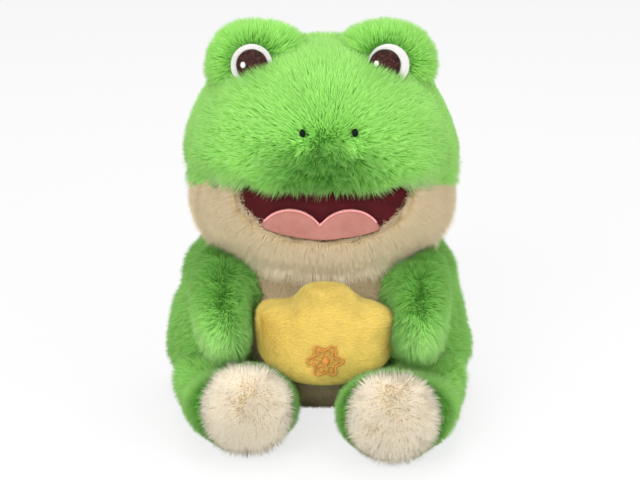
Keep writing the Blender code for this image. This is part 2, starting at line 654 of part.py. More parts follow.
for side_name, side in SIDES.items():
    surface_dot(f"nostril_{side_name}", head, head_cutter, NOSTRIL_SHIFT + side * NOSTRIL_SPREAD,
                NOSTRIL_HEIGHT, NOSTRIL_HALF_WIDTH, NOSTRIL_HALF_HEIGHT, NOSTRIL_RISE, DARK_THREAD, head_turn)

eye_turn = Matrix.Rotation(-math.radians(EYE_TILT), 3, "X")
facing = eye_turn @ Vector((0, -1, 0))
facing_up = eye_turn @ UP
pupil_shift = {"left": PUPIL_SHIFT_LEFT, "right": PUPIL_SHIFT_RIGHT}

for side_name, side in SIDES.items():
    mound = mound_form(side)
    pole = mound.centre + facing * MOUND_DEPTH
    pocket_floor = pole - facing * EYE_POCKET_DEPTH
    pocket = disc(f"eye_pocket_{side_name}", EYE_RADIUS + GAP, 2 * EYE_POCKET_DEPTH, pole, EYE_TILT, None)
    hollow = form_object(f"mound_hollow_{side_name}", mound, PLUSH_THICKNESS)
    skin = form_object(f"eye_mound_skin_{side_name}", mound, finish=GREEN_PLUSH, parent=head_turn)
    cut(skin, hollow, head_cutter, pocket)
    filling = form_object(f"eye_stuffing_{side_name}", mound, PLUSH_THICKNESS + GAP, finish=FILLING,
                          parent=head_turn)
    cut(filling, head_cutter)
    white_place = pocket_floor + facing * (GAP + EYE_THICKNESS / 2)
    white = disc(f"eye_white_{side_name}", EYE_RADIUS, EYE_THICKNESS, white_place, EYE_TILT, WHITE_SATIN,
                 head_turn)
    cut(white, head_cutter)
    pupil_place = white_place + facing * ((EYE_THICKNESS + PUPIL_THICKNESS) / 2 + GAP)
    pupil_place.x -= side * pupil_shift[side_name]
    pupil = disc(f"pupil_{side_name}", PUPIL_RADIUS, PUPIL_THICKNESS, pupil_place, EYE_TILT, BROWN_THREAD,
                 head_turn)
    cut(pupil, head_cutter)
    glint_place = pupil_place + facing * ((PUPIL_THICKNESS + GLINT_THICKNESS) / 2 + GAP)
    glint_place.x += GLINT_OFFSET * math.cos(math.radians(GLINT_ANGLE))
    glint_place += facing_up * (GLINT_OFFSET * math.sin(math.radians(GLINT_ANGLE)))
    glint = disc(f"glint_{side_name}", GLINT_RADIUS, GLINT_THICKNESS, glint_place, EYE_TILT, WHITE_THREAD,
                 head_turn, GLINT_SIDES)
    cut(glint, head_cutter)

# Satin-stitched edge along the tongue's lobes

edging_reach = tongue_reach - EDGING_MARGIN - EDGING_RADIUS
edging_points = []
for step in range(OUTLINE_STEPS + 1):
    across = -edging_reach + 2 * edging_reach * step / OUTLINE_STEPS
    up = lobe_top(across) - EDGING_RADIUS
    point, normal = front_of(jaw, across, up, TONGUE_FRONT_INSET, True)
    edging_points.append(point + normal * (EDGING_RADIUS + THREAD_LIFT))
tube("tongue_edging", edging_points, EDGING_RADIUS, False, PINK_THREAD, head_turn)

# Legs and arms

hand_spread = {"left": HAND_SPREAD_LEFT, "right": HAND_SPREAD_RIGHT}

for side_name, side in SIDES.items():
    leg = legs[side_name]
    hip_place = Vector((side * (HIP_SPREAD + HIP_HALF_WIDTH), -HIP_FORWARD, 0))
    leg_spread = hinge_empty(f"hip_seam_{side_name}", hip_place)
    sole_place = Vector((leg.points[-1].x, leg.points[-1].y + SOLE_CUT_BACK, SOLE_HEIGHT))
    sole_normal = Matrix.Rotation(-math.radians(SOLE_TILT), 3, "X") @ Vector((0, -1, 0))
    before_sole = box_cutter(f"before_sole_{side_name}", sole_place, 90.0 - SOLE_TILT, 1)
    pad_place = sole_place + sole_normal * GAP
    behind_sole = box_cutter(f"behind_sole_{side_name}", pad_place, 90.0 - SOLE_TILT, -1)
    leg_hollow = form_object(f"leg_hollow_{side_name}", leg, PLUSH_THICKNESS, True)
    skin = form_object(f"leg_skin_{side_name}", leg, finish=GREEN_PLUSH, parent=leg_spread)
    cut(skin, leg_hollow, torso_cutter, below_seat, before_sole)
    filling = form_object(f"leg_stuffing_{side_name}", leg, PLUSH_THICKNESS + GAP, True, FILLING, leg_spread)
    cut(filling, torso_cutter, before_sole)
    pad = Pillow(sole_place, SOLE_RADIUS, SOLE_DOME, SOLE_DOME, SOLE_RADIUS, SOLE_RADIUS,
                 SOLE_FULLNESS_SHARE, SOLE_FULLNESS_SHARE, 0.0, -SOLE_TILT, SMALL_SEGMENTS, SMALL_RINGS)
    sole = form_object(f"sole_pad_{side_name}", pad, finish=CREAM_PLUSH, parent=leg_spread)
    cut(sole, behind_sole, below_seat)

    arm = arm_form(side, hand_spread[side_name])
    seam_place = Vector((side * (SHOULDER_SPREAD + SHOULDER_RADIUS), -SHOULDER_FORWARD, SHOULDER_HEIGHT))
    arm_spread = hinge_empty(f"shoulder_seam_{side_name}", seam_place, NECK_TILT)
    arm_hollow = form_object(f"arm_hollow_{side_name}", arm, PLUSH_THICKNESS, True)
    arm_trims = (torso_cutter, jaw_sweep, leg_cutters[side_name], ingot_cutter)
    skin = form_object(f"arm_skin_{side_name}", arm, finish=GREEN_PLUSH, parent=arm_spread)
    cut(skin, arm_hollow, *arm_trims)
    filling = form_object(f"arm_stuffing_{side_name}", arm, PLUSH_THICKNESS + GAP, True, FILLING, arm_spread)
    cut(filling, *arm_trims)
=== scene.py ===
# %% [markdown]
# # A seated plush frog
# The toy is cut from long green plush, with cream plush for the jaw, belly and soles. A yellow
# cushion ingot is sewn to its belly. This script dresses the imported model: each stuffed part gets a
# soft skin, and fur grows from that skin. The frog faces -Y, and its own left is +X.

# %% Load the frame
import math
import random

import bmesh
import bpy
import numpy as np
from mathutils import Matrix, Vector
from mathutils.bvhtree import BVHTree


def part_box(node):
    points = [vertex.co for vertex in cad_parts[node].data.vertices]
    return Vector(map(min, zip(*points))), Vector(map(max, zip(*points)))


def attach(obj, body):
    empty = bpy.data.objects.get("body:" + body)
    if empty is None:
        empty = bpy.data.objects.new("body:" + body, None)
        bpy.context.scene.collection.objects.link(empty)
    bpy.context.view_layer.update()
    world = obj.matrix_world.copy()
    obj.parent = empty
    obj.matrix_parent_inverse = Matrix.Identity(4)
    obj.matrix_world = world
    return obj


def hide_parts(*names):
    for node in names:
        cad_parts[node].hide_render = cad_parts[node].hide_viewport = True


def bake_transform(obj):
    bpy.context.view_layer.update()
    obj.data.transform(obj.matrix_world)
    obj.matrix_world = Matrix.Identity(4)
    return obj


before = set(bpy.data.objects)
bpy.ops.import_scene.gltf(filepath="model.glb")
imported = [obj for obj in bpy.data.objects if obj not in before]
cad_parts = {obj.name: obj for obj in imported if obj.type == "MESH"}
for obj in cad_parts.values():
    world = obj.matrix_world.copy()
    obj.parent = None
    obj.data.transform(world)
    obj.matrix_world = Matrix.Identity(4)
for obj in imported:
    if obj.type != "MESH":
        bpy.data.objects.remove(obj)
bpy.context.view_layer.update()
scene = bpy.context.scene
SIDES = {"left": 1, "right": -1}

# %% [markdown]
# ## Camera
# A product photo is taken from a little above, with a long lens so that the near feet don't swell.
# The camera's place is worked out from the height that it looks down from and its distance.

# %% Set up the camera
CAMERA_DISTANCE = 1.30
CAMERA_ELEVATION = math.radians(16.0)
AIM = Vector((0.0, 0.0, 0.0951))
FRAME_WIDTH = 0.3968
NEAREST_SEEN = 0.05


def new_object(name, data):
    """An object in the scene."""
    made = bpy.data.objects.new(name, data)
    scene.collection.objects.link(made)
    return made


def turn_to(made, direction):
    """Turns a camera or a lamp to look in a direction."""
    made.rotation_mode = "QUATERNION"
    made.rotation_quaternion = direction.to_track_quat("-Z", "Y")


camera = new_object("camera", bpy.data.cameras.new("camera"))
scene.camera = camera
away = Vector((0, -math.cos(CAMERA_ELEVATION), math.sin(CAMERA_ELEVATION)))
camera.location = AIM + away * CAMERA_DISTANCE
turn_to(camera, -away)
camera.data.angle = 2 * math.atan(FRAME_WIDTH / 2 / CAMERA_DISTANCE)
camera.data.clip_start = NEAREST_SEEN
print("field of view:", round(math.degrees(camera.data.angle), 2), "degrees")

# %% [markdown]
# ## Floor and light
# The photo shows the toy on plain white. The floor and the world are white to the camera alone, so
# no extra light is thrown on the fur, and the floor still darkens a little where the toy's shadow lies.

# %% Helpers for nodes
WHITE = (1, 1, 1, 1)


def add_node(tree, kind, inputs=(), **settings):
    """A node with its settings, and its inputs linked from sockets or set to values."""
    made = tree.nodes.new(kind)
    for name, value in settings.items():
        setattr(made, name, value)
    for name, value in dict(inputs).items():
        socket = made.inputs[name]
        if isinstance(value, bpy.types.NodeSocket):
            tree.links.new(value, socket)
        else:
            socket.default_value = value
    return made


def number_math(tree, operation, first, second):
    """The result of one sum of two numbers."""
    return add_node(tree, "ShaderNodeMath", {0: first, 1: second}, operation=operation).outputs["Value"]


def new_material(name):
    """A material with its node tree emptied, and that tree."""
    made = bpy.data.materials.new(name)
    made.use_nodes = True
    made.node_tree.nodes.clear()
    return made, made.node_tree


print("helpers for nodes ready")

# %% Make the floor
FLOOR_SIZE = 8.0
FLOOR_COLOUR = (0.80, 0.80, 0.80, 1)
SHADOW_SHARE = 0.22

floor_mesh = bpy.data.meshes.new("floor")
floor_corners = [(x * FLOOR_SIZE / 2, y * FLOOR_SIZE / 2, 0) for x, y in ((-1, -1), (1, -1), (1, 1), (-1, 1))]
floor_mesh.from_pydata(floor_corners, [], [(0, 1, 2, 3)])
floor = new_object("floor", floor_mesh)
floor_paint, tree = new_material("pale_floor")
plain = add_node(tree, "ShaderNodeBsdfDiffuse", {"Color": FLOOR_COLOUR})
glow = add_node(tree, "ShaderNodeEmission", {"Color": WHITE})
seen = add_node(tree, "ShaderNodeLightPath").outputs["Is Camera Ray"]
share = number_math(tree, "MULTIPLY", seen, 1 - SHADOW_SHARE)
both = add_node(tree, "ShaderNodeMixShader", {"Fac": share, 1: plain.outputs[0], 2: glow.outputs[0]})
add_node(tree, "ShaderNodeOutputMaterial", {"Surface": both.outputs[0]})
floor_mesh.materials.append(floor_paint)
print("floor:", FLOOR_SIZE, "m square")

# %% Light the toy
WORLD_LIGHT = 0.60
LAMPS = {  # place, width, power
    "key_lamp": ((-0.7, -1.9, 1.15), 1.2, 36.0),
    "fill_lamp": ((1.2, -1.5, 0.55), 1.2, 15.0),
    "top_lamp": ((0.1, 0.4, 1.8), 0.9, 11.0),
}

world = bpy.data.worlds.new("studio")
world.use_nodes = True
scene.world = world
tree = world.node_tree
sky = tree.nodes["Background"]
sky.inputs["Color"].default_value = WHITE
seen = add_node(tree, "ShaderNodeLightPath").outputs["Is Camera Ray"]
tree.links.new(number_math(tree, "MAXIMUM", seen, WORLD_LIGHT), sky.inputs["Strength"])
for name, (place, width, power) in LAMPS.items():
    lamp = new_object(name, bpy.data.lights.new(name, "AREA"))
    lamp.data.size = width
    lamp.data.energy = power
    lamp.location = place
    turn_to(lamp, AIM - Vector(place))
scene.view_settings.view_transform = "Standard"
print("lamps:", ", ".join(LAMPS))

# %% [markdown]
# ## Soft skins
# Under the fur each stuffed part is a plain swollen form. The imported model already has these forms,
# as a shell with its filling, trimmed where they are sewn together. A voxel remesh of the two joined
# gives one closed skin, and smoothing rounds off its facets. The skin is then drawn in by about the
# length of the fur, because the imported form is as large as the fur's mean height. Where a part is
# sewn on, its edge is drawn towards a place inside its neighbour, so that no gap opens there.

# %% Helpers for numbers
def smooth_step(value, low, high):
    """0 below low, 1 above high, and a soft rise between."""
    share = np.clip((value - low) / (high - low), 0, 1)
    return share * share * (3 - 2 * share)


def above(rows, low, high):
    """0 for places lower than low, 1 for places higher than high."""
    return smooth_step(rows[:, 2], low, high)


def below(rows, low, high):
    """1 for places lower than low, 0 for places higher than high."""
    return 1 - smooth_step(rows[:, 2], low, high)


def near_point(rows, place, inner, outer):
    """1 within the inner distance of a place, 0 beyond the outer one."""
    return 1 - smooth_step(np.linalg.norm(rows - np.array(place), axis=1), inner, outer)


def unit(rows):
    """Rows as directions."""
    return rows / (np.linalg.norm(rows, axis=-1, keepdims=True) + 1e-9)


def shifted(rows, x=0, y=0, z=0):
    """Rows moved along the axes, by numbers or by one value for each row."""
    return rows + np.stack([np.broadcast_to(value, len(rows)) for value in (x, y, z)], axis=1)


print("helpers for numbers ready")

# %% Helpers for meshes
MERGE_DISTANCE = 0.00002
SMOOTHING_FACTOR = 0.5


def read_rows(elements, key):
    """The vectors of a mesh's vertices or of a stored value, as rows."""
    rows = np.zeros(len(elements) * 3, np.float32)
    elements.foreach_get(key, rows)
    return rows.reshape(-1, 3).astype(float)


def points_of(mesh):
    """A mesh's vertices as rows."""
    return read_rows(mesh.vertices, "co")


def normals_of(mesh):
    """A mesh's vertex normals as rows."""
    return read_rows(mesh.vertex_normals, "vector")


def put_points(mesh, rows):
    """Moves a mesh's vertices."""
    mesh.vertices.foreach_set("co", rows.astype(np.float32).ravel())
    mesh.update()


def values_of(mesh, name):
    """One stored number for each vertex."""
    values = np.zeros(len(mesh.vertices), np.float32)
    mesh.attributes[name].data.foreach_get("value", values)
    return values.astype(float)


def put_values(mesh, name, values):
    """Stores a number or a vector for each vertex."""
    values = np.array(values, np.float32)
    kind, key = ("FLOAT", "value") if values.ndim == 1 else ("FLOAT_VECTOR", "vector")
    made = mesh.attributes.get(name) or mesh.attributes.new(name, kind, "POINT")
    made.data.foreach_set(key, values.ravel())


def drop_values(mesh, names):
    """Removes stored values that are no longer needed."""
    for name in names:
        if name in mesh.attributes:
            mesh.attributes.remove(mesh.attributes[name])


def evaluated_mesh(made):
    """An object's mesh with its modifiers applied."""
    return bpy.data.meshes.new_from_object(made.evaluated_get(bpy.context.evaluated_depsgraph_get()))


def settle(made):
    """Applies an object's modifiers."""
    mesh = evaluated_mesh(made)
    made.modifiers.clear()
    old_mesh = made.data
    made.data = mesh
    bpy.data.meshes.remove(old_mesh)


def soften(made, steps):
    """Smooths an object's mesh."""
    modifier = made.modifiers.new("soften", "SMOOTH")
    modifier.factor = SMOOTHING_FACTOR
    modifier.iterations = steps
    settle(made)


def painted(made, paint):
    """An object smooth to the eye, with one material."""
    made.data.materials.clear()
    made.data.materials.append(paint)
    made.data.shade_smooth()
    return made


def shape_of(node_names):
    """Some nodes as one bmesh."""
    shape = bmesh.new()
    for node_name in node_names:
        shape.from_mesh(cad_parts[node_name].data)
    return shape


def object_of(name, shape):
    """An object made from a bmesh, which is freed."""
    mesh = bpy.data.meshes.new(name)
    shape.to_mesh(mesh)
    shape.free()
    return new_object(name, mesh)


def joined_copy(name, node_names, voxel):
    """Copies of some nodes as one closed mesh: loose triangles merged, then voxel remeshed."""
    shape = shape_of(node_names)
    bmesh.ops.remove_doubles(shape, verts=shape.verts, dist=MERGE_DISTANCE)
    made = object_of(name, shape)
    remesh = made.modifiers.new("one skin", "REMESH")
    remesh.mode = "VOXEL"
    remesh.voxel_size = voxel
    settle(made)
    return made


def tree_of(node_names):
    """A search tree of some nodes' surfaces."""
    shape = shape_of(node_names)
    tree = BVHTree.FromBMesh(shape)
    shape.free()
    return tree


def near_nodes(rows, node_names, inner, outer):
    """1 within the inner distance of some nodes' surfaces, 0 beyond the outer one."""
    tree = tree_of(node_names)
    gap = np.array([tree.find_nearest(Vector(row))[3] for row in rows])
    return 1 - smooth_step(gap, inner, outer)


def spread_out(mesh, values, steps):
    """Values averaged with their neighbours' along the edges, a few times."""
    ends = np.zeros(len(mesh.edges) * 2, np.int32)
    mesh.edges.foreach_get("vertices", ends)
    first, second = ends.reshape(-1, 2).T
    share = 1 / (np.bincount(ends, minlength=len(values)) + 1)
    for _ in range(steps):
        from_second = np.bincount(first, values[second], len(values))
        from_first = np.bincount(second, values[first], len(values))
        values = (values + from_second + from_first) * share
    return values


def middle(node):
    """The middle of a node's box."""
    low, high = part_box(node)
    return (low + high) / 2


print("helpers for meshes ready")

# %% [markdown]
# ## Stuffing
# A stuffed skin is round because its filling presses on it, and it is held where it is sewn. The cloth
# solver does just that: each skin gets a pressure inside and is pinned at its seams. What it moves
# outwards is kept, evened out and held under a cap, so that no wrinkle shows through the fur. A small
# cushion needs more pressure than a large one to swell as much.

# %% Stuff a skin
STUFFING_PRESSURE = 4.0
STUFFED_SIZE = 0.18
STUFFING_FRAMES = 16
STUFFING_MASS = 0.004
LEAST_HELD = 0.01
SWELL_CAP = 0.0022
SWELL_EVENING = 8


def swell(skin):
    """Lets a skin swell between its seams, as cloth pressed from inside."""
    before, normals = points_of(skin.data), normals_of(skin.data)
    sewn = values_of(skin.data, "sewn")
    held = skin.vertex_groups.new(name="held")
    for index in np.nonzero(sewn > LEAST_HELD)[0]:
        held.add([int(index)], float(sewn[index]), "REPLACE")
    cloth = skin.modifiers.new("stuffing", "CLOTH")
    cloth.settings.vertex_group_mass = held.name
    cloth.settings.use_pressure = True
    cloth.settings.uniform_pressure_force = STUFFING_PRESSURE * (STUFFED_SIZE / max(skin.dimensions)) ** 2
    cloth.settings.effector_weights.gravity = 0
    cloth.settings.mass = STUFFING_MASS
    cloth.collision_settings.use_collision = False
    cloth.point_cache.frame_end = STUFFING_FRAMES
    for step in range(1, STUFFING_FRAMES + 1):
        scene.frame_set(step)
    swollen = evaluated_mesh(skin)
    moved = points_of(swollen) - before
    bpy.data.meshes.remove(swollen)
    skin.modifiers.clear()
    skin.vertex_groups.clear()
    scene.frame_set(1)
    outward = np.clip(np.sum(moved * normals, axis=1), 0, SWELL_CAP)
    outward = spread_out(skin.data, outward, SWELL_EVENING) * (1 - sewn)
    put_points(skin.data, before + normals * outward[:, None])
    print(skin.name, "swells by (mm):", round(float(outward.mean()) * 1000, 2))


# %% Make a soft skin
VOXEL = 0.003
SMOOTHING_STEPS = 10
SEAM_SPAN = (0.0022, 0.0060)
FLOOR_SPAN = (0.0015, 0.0080)
FLUSH_LIFT = 0.0030
BESIDE_MOUTH = (0.0560, 0.0620)


def soft_skin(name, node_names, inset, seams=(), voxel=VOXEL, floor_rest=False, shape=None, flush=(),
              smoothing=SMOOTHING_STEPS):
    """A closed skin for some nodes. seams lists what it is sewn to, how far its edge goes in, and where to.
    flush names nodes that it lies on or under, where its edge keeps its height."""
    skin = joined_copy(name, node_names, voxel)
    before = points_of(skin.data)
    sewn = np.zeros(len(before))
    drawn_in = np.zeros_like(before)
    for neighbours, reach, place in seams:
        near = near_nodes(before, neighbours, *SEAM_SPAN)
        drawn_in += unit(np.array(place) - before) * (reach * near * (1 - sewn))[:, None]
        sewn = np.maximum(sewn, near)
    if floor_rest:
        sewn = np.maximum(sewn, below(before, *FLOOR_SPAN))
    put_values(skin.data, "sewn", sewn)
    if shape:
        put_points(skin.data, shape(before))
    soften(skin, smoothing)
    normals = normals_of(skin.data)
    inward = -normals * (inset * (1 - sewn))[:, None]
    if flush:
        near = near_nodes(before, flush, *SEAM_SPAN)
        beside_mouth = smooth_step(np.abs(before[:, 0]), *BESIDE_MOUTH)
        lift = FLUSH_LIFT * near * beside_mouth * np.clip(normals[:, 2], 0, 1)
        inward[:, 2] = inward[:, 2] * (1 - near) + lift
    put_points(skin.data, points_of(skin.data) + drawn_in + inward)
    soften(skin, SMOOTHING_STEPS // 2)
    swell(skin)
    skin.data.shade_smooth()
    print(name, "faces:", len(skin.data.polygons), "size (mm):", [round(v * 1000) for v in skin.dimensions])
    return skin


print("voxel (mm):", VOXEL * 1000)

# %% [markdown]
# ## Forms that the sewing gives
# Cloth bulges between its seams and gives where it is pulled, so the real toy isn't as even as its
# pattern. Each form here is a function that moves a skin's vertices by a millimetre or a few, before the
# skin is smoothed. Numbers were found by laying the render over the photo.

# %% Helpers for places
def in_front(rows, low, high):
    """1 for places further forward than high, 0 for those behind low."""
    return smooth_step(-rows[:, 1], low, high)


def outward(rows, low, high):
    """1 for places further than high from the middle of the toy."""
    return smooth_step(np.abs(rows[:, 0]), low, high)


def to_side(rows, sign, low, high):
    """1 for places further than high to one side of the toy."""
    return smooth_step(rows[:, 0] * sign, low, high)


def near_height(rows, height, inner, outer):
    """1 for places at about a height."""
    return 1 - smooth_step(np.abs(rows[:, 2] - height), inner, outer)


print("helpers for places ready")

# %% Shape the ingot and the eye mounds
INGOT_MIDDLE = middle("ingot_skin")
INGOT_CORNER = 0.0018
INGOT_HORN = 0.0035
INGOT_DROOP = 0.0015
HORN_SPAN = (0.60, 0.95)
INGOT_FLANK = 0.0055
FLANK_SPAN = (0.28, 0.52)
MOUND_IN = {"right": 0.0080, "left": 0.0050}
MOUND_SLOPE = (0.0, 0.022)
MOUND_OUT = {"right": 0.0014, "left": 0.0028}
MOUND_BULGE = (0.0, 0.018)
MOUND_UP = 0.0010


def ingot_shape(rows):
    """Lowers the top beside the dome, turns the upper corners out, lifts one and lets the other droop."""
    low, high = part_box("ingot_skin")
    across = (rows[:, 0] - INGOT_MIDDLE.x) / ((high.x - low.x) / 2)
    up = above(rows, INGOT_MIDDLE.z, high.z)
    horn = up * smooth_step(np.abs(across), *HORN_SPAN)
    lift = horn * np.where(across < 0, INGOT_HORN, -INGOT_DROOP)
    shaped = shifted(rows, x=np.sign(across) * horn * INGOT_CORNER, z=lift)
    return shifted(shaped, z=-up * smooth_step(np.abs(across), *FLANK_SPAN) * INGOT_FLANK)


def mound_shape(rows, side, sign):
    """Lets an eye mound slope gently down to the crown, and fills its outer side."""
    across = (rows[:, 0] - middle(f"eye_mound_skin_{side}").x) * sign
    out = MOUND_OUT[side] * smooth_step(across, *MOUND_BULGE)
    return shifted(rows, x=sign * (out - MOUND_IN[side] * smooth_step(-across, *MOUND_SLOPE)), z=MOUND_UP)


print("ingot middle (mm):", [round(value * 1000) for value in INGOT_MIDDLE])

# %% Shape the body, the legs and the soles
HIP_OUT = 0.0028
HIP_TOPS = {"right": 0.050, "left": 0.025}
HIP_FADE = 0.025
HIP_FOOT = (0.010, 0.028)
SHOULDER_OUT, SHOULDER_HEIGHT, SHOULDER_SPAN = 0.0046, 0.094, (0.007, 0.024)
CREASE_OUT, CREASE_HEIGHT, CREASE_SPAN = 0.0024, 0.018, (0.004, 0.012)
BODY_SIDE = (0.045, 0.070)
THIGH_TOP, THIGH_SIDE = (0.055, 0.080), (0.050, 0.075)
LEG_CREASE_HEIGHT, LEG_CREASE_SPAN, LEG_CREASE_SIDE = 0.036, (0.006, 0.016), (0.055, 0.075)
LEG_INNER = {"right": 0.0, "left": 0.0032}
LEG_INNER_SIDE, LEG_INNER_FRONT = (0.026, 0.040), (0.050, 0.075)
SOLE_SPREAD = np.array((1.07, 1.0, 1.07))


def body_shape(rows):
    """Fills the body out sideways at the hips, and more where it meets the head and the legs."""
    hip_top = np.where(rows[:, 0] > 0, HIP_TOPS["left"], HIP_TOPS["right"])
    out = HIP_OUT * (1 - smooth_step(rows[:, 2] - hip_top, 0, HIP_FADE)) * above(rows, *HIP_FOOT)
    out += SHOULDER_OUT * near_height(rows, SHOULDER_HEIGHT, *SHOULDER_SPAN)
    out += CREASE_OUT * near_height(rows, CREASE_HEIGHT, *CREASE_SPAN)
    return shifted(rows, x=np.sign(rows[:, 0]) * out * outward(rows, *BODY_SIDE))


def leg_shape(rows, side, sign):
    """Fills a leg out sideways, and its inner side near the foot."""
    out = HIP_OUT * below(rows, *THIGH_TOP) * to_side(rows, sign, *THIGH_SIDE)
    crease = CREASE_OUT * near_height(rows, LEG_CREASE_HEIGHT, *LEG_CREASE_SPAN)
    out += crease * to_side(rows, sign, *LEG_CREASE_SIDE)
    inner = LEG_INNER[side] * (1 - to_side(rows, sign, *LEG_INNER_SIDE)) * in_front(rows, *LEG_INNER_FRONT)
    return shifted(rows, x=sign * (out - inner))


def sole_shape(rows):
    """Spreads a sole to the edge of its foot."""
    centre = (rows.min(axis=0) + rows.max(axis=0)) / 2
    shaped = centre + (rows - centre) * SOLE_SPREAD
    shaped[:, 2] = np.maximum(shaped[:, 2], rows[:, 2].min())
    return shaped


print("hips out by (mm):", HIP_OUT * 1000)

# %% Shape the head
NOSTRILS = {side: middle(f"nostril_{side}") for side in SIDES}
NOSE = (NOSTRILS["left"] + NOSTRILS["right"]) / 2
MOUTH = middle("mouth_lining")
CHEEK_OUT = {"right": 0.0022, "left": 0.0026}
CHEEK_SIDE, CHEEK_FRONT, CHEEK_TOP = (0.040, 0.078), (-0.040, 0.0), (0.118, 0.140)
TEMPLE_OUT = {"right": 0.0028, "left": 0.0020}
TEMPLE_SIDE, TEMPLE_TOP = (0.050, 0.085), (0.150, 0.185)
DIMPLE_DEPTH, DIMPLE_REACH = 0.0034, 0.0085
LIP_DROP = 0.0012
LIP_SAG, LIP_SAG_SPAN = 0.0030, (0.038, 0.056)
LIP_LOBE, LIP_LOBE_PLACE, LIP_LOBE_WIDTH = 0.0026, 0.030, 0.014
LIP_FRONT, LIP_TOP = (0.045, 0.075), (0.145, 0.165)


def filled_out(rows, amounts, side_span, top, front=1):
    """How far both sides of the head are filled out, below its top span."""
    return sum(sign * to_side(rows, sign, *side_span) * front * below(rows, *top) * amounts[side]
               for side, sign in SIDES.items())


def cheek_shape(rows):
    """Fills the cheeks out sideways."""
    front = in_front(rows, *CHEEK_FRONT)
    return shifted(rows, x=filled_out(rows, CHEEK_OUT, CHEEK_SIDE, CHEEK_TOP, front))


def muzzle_shape(rows):
    """Fills the temples out, presses a dimple in for each nostril and lets the upper lip sag."""
    shaped = shifted(rows, x=filled_out(rows, TEMPLE_OUT, TEMPLE_SIDE, TEMPLE_TOP))
    for place in NOSTRILS.values():
        shaped[:, 1] += near_point(rows, place, 0.0, DIMPLE_REACH) * DIMPLE_DEPTH
    across = np.abs(rows[:, 0] - MOUTH.x)
    sag = LIP_SAG * (1 - smooth_step(across, *LIP_SAG_SPAN))
    sag += LIP_LOBE * np.exp(-((across - LIP_LOBE_PLACE) / LIP_LOBE_WIDTH) ** 2)
    low_front = in_front(rows, *LIP_FRONT) * below(rows, *LIP_TOP)
    return shifted(shaped, z=-low_front * (LIP_DROP + sag))


print("nose (mm):", [round(value * 1000) for value in NOSE])

# %% Make the skins
FUR_INSET = 0.0052
LEG_INSET = 0.0024
SOLE_INSET = 0.0012
SOLE_SMOOTHING = 30
INGOT_INSET = -0.0006
SEAM_REACH = 0.006
SHORT_REACH = 0.002
SOLE_REACH = 0.001
BODY_CORE = (0, -0.005, 0.065)
HEAD_CORE = (0, -0.010, 0.155)
LEG_CORE = (0.035, -0.010, 0.030)
FOOT_DEPTH = Vector((0, 0.03, 0))
SMALL_VOXEL, INGOT_VOXEL = VOXEL * 0.8, VOXEL * 0.6
MOUND_REACH = SEAM_REACH * 1.3
TORSO_NODES = ["torso_skin", "belly_panel", "torso_stuffing", "pellet_bag"]
LOWER_HEAD_NODES = ["jaw_skin", "nape_skin", "jaw_stuffing", "mouth_lining"]
ON_BODY = [(TORSO_NODES, SEAM_REACH, BODY_CORE)]

skins = {
    "torso": soft_skin("torso_pad", TORSO_NODES, FUR_INSET, [(LOWER_HEAD_NODES, SEAM_REACH, HEAD_CORE)],
                       floor_rest=True, shape=body_shape),
    "lower_head": soft_skin("lower_head_pad", LOWER_HEAD_NODES, FUR_INSET,
                            [(TORSO_NODES, SHORT_REACH, BODY_CORE)], shape=cheek_shape, flush=["head_skin"]),
    "upper_head": soft_skin("upper_head_pad", ["head_skin", "head_stuffing"], FUR_INSET, shape=muzzle_shape,
                            flush=["jaw_skin", "nape_skin"]),
    "ingot": soft_skin("ingot_pad", ["ingot_skin", "ingot_stuffing", "ingot_dome"], INGOT_INSET, ON_BODY,
                       voxel=INGOT_VOXEL, shape=ingot_shape),
}
for side, sign in SIDES.items():
    mound, arm, leg, sole = (f"{part}_{side}" for part in ("mound", "arm", "leg", "sole"))
    leg_nodes = [f"leg_skin_{side}", f"leg_stuffing_{side}"]
    foot_core = middle(f"sole_pad_{side}") + FOOT_DEPTH
    skins[mound] = soft_skin(f"eye_mound_pad_{side}", [f"eye_mound_skin_{side}", f"eye_stuffing_{side}"],
                             FUR_INSET, [(["head_skin"], MOUND_REACH, HEAD_CORE)], voxel=SMALL_VOXEL,
                             shape=lambda rows: mound_shape(rows, side, sign))
    skins[arm] = soft_skin(f"arm_pad_{side}", [f"arm_skin_{side}", f"arm_stuffing_{side}"], FUR_INSET,
                           ON_BODY)
    skins[leg] = soft_skin(f"leg_pad_{side}", leg_nodes, LEG_INSET,
                           [(TORSO_NODES, SEAM_REACH, (sign * LEG_CORE[0], *LEG_CORE[1:])),
                            ([f"sole_pad_{side}"], SOLE_REACH, foot_core)], floor_rest=True,
                           shape=lambda rows: leg_shape(rows, side, sign))
    skins[sole] = soft_skin(f"sole_cushion_{side}", [f"sole_pad_{side}"], SOLE_INSET,
                            [(leg_nodes, SHORT_REACH, foot_core)], voxel=SMALL_VOXEL, shape=sole_shape,
                            smoothing=SOLE_SMOOTHING)
print("skins:", len(skins))

# %% [markdown]
# ## Which way the fur lies
# Plush is cut so that its pile runs away from a point and hangs. For each skin six things are stored
# at every vertex: comb, the way the pile leans; reach, how long it is; rough, how far it clumps; grow,
# where any grows; dim, how much painted shade darkens it, or below 0 how much painted light
# lightens it; and other, how much it takes of the second colour of its material, which at the upper lip
# is painted light. None grows on an eye, in the mouth, or where the two halves of the head meet. None
# grows in most seams either. The limbs' seams keep some, so that no bare cloth shows when a limb is spread.

# %% Mark where each cloth lies
BELLY_HALF = (0.043, 0.066)
BELLY_HEIGHT = 0.068
BODY_FRONT = -0.02
BELLY_EDGE = (0.97, 1.03)
NAPE_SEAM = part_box("nape_skin")[0].y
MOUTH_CORNERS = 0.1435
MOUTH_HALF = 0.0515
MOUTH_DROP = 0.0270
MOUTH_FULLNESS = 2.4
FACE_FRONT = -0.03
FAR_OUT = 9.0
LIP_LINE = 0.135
LIP_SLOPE = 0.18
EDGE_SOFT = 0.0012
FUR_SPLIT = -0.01


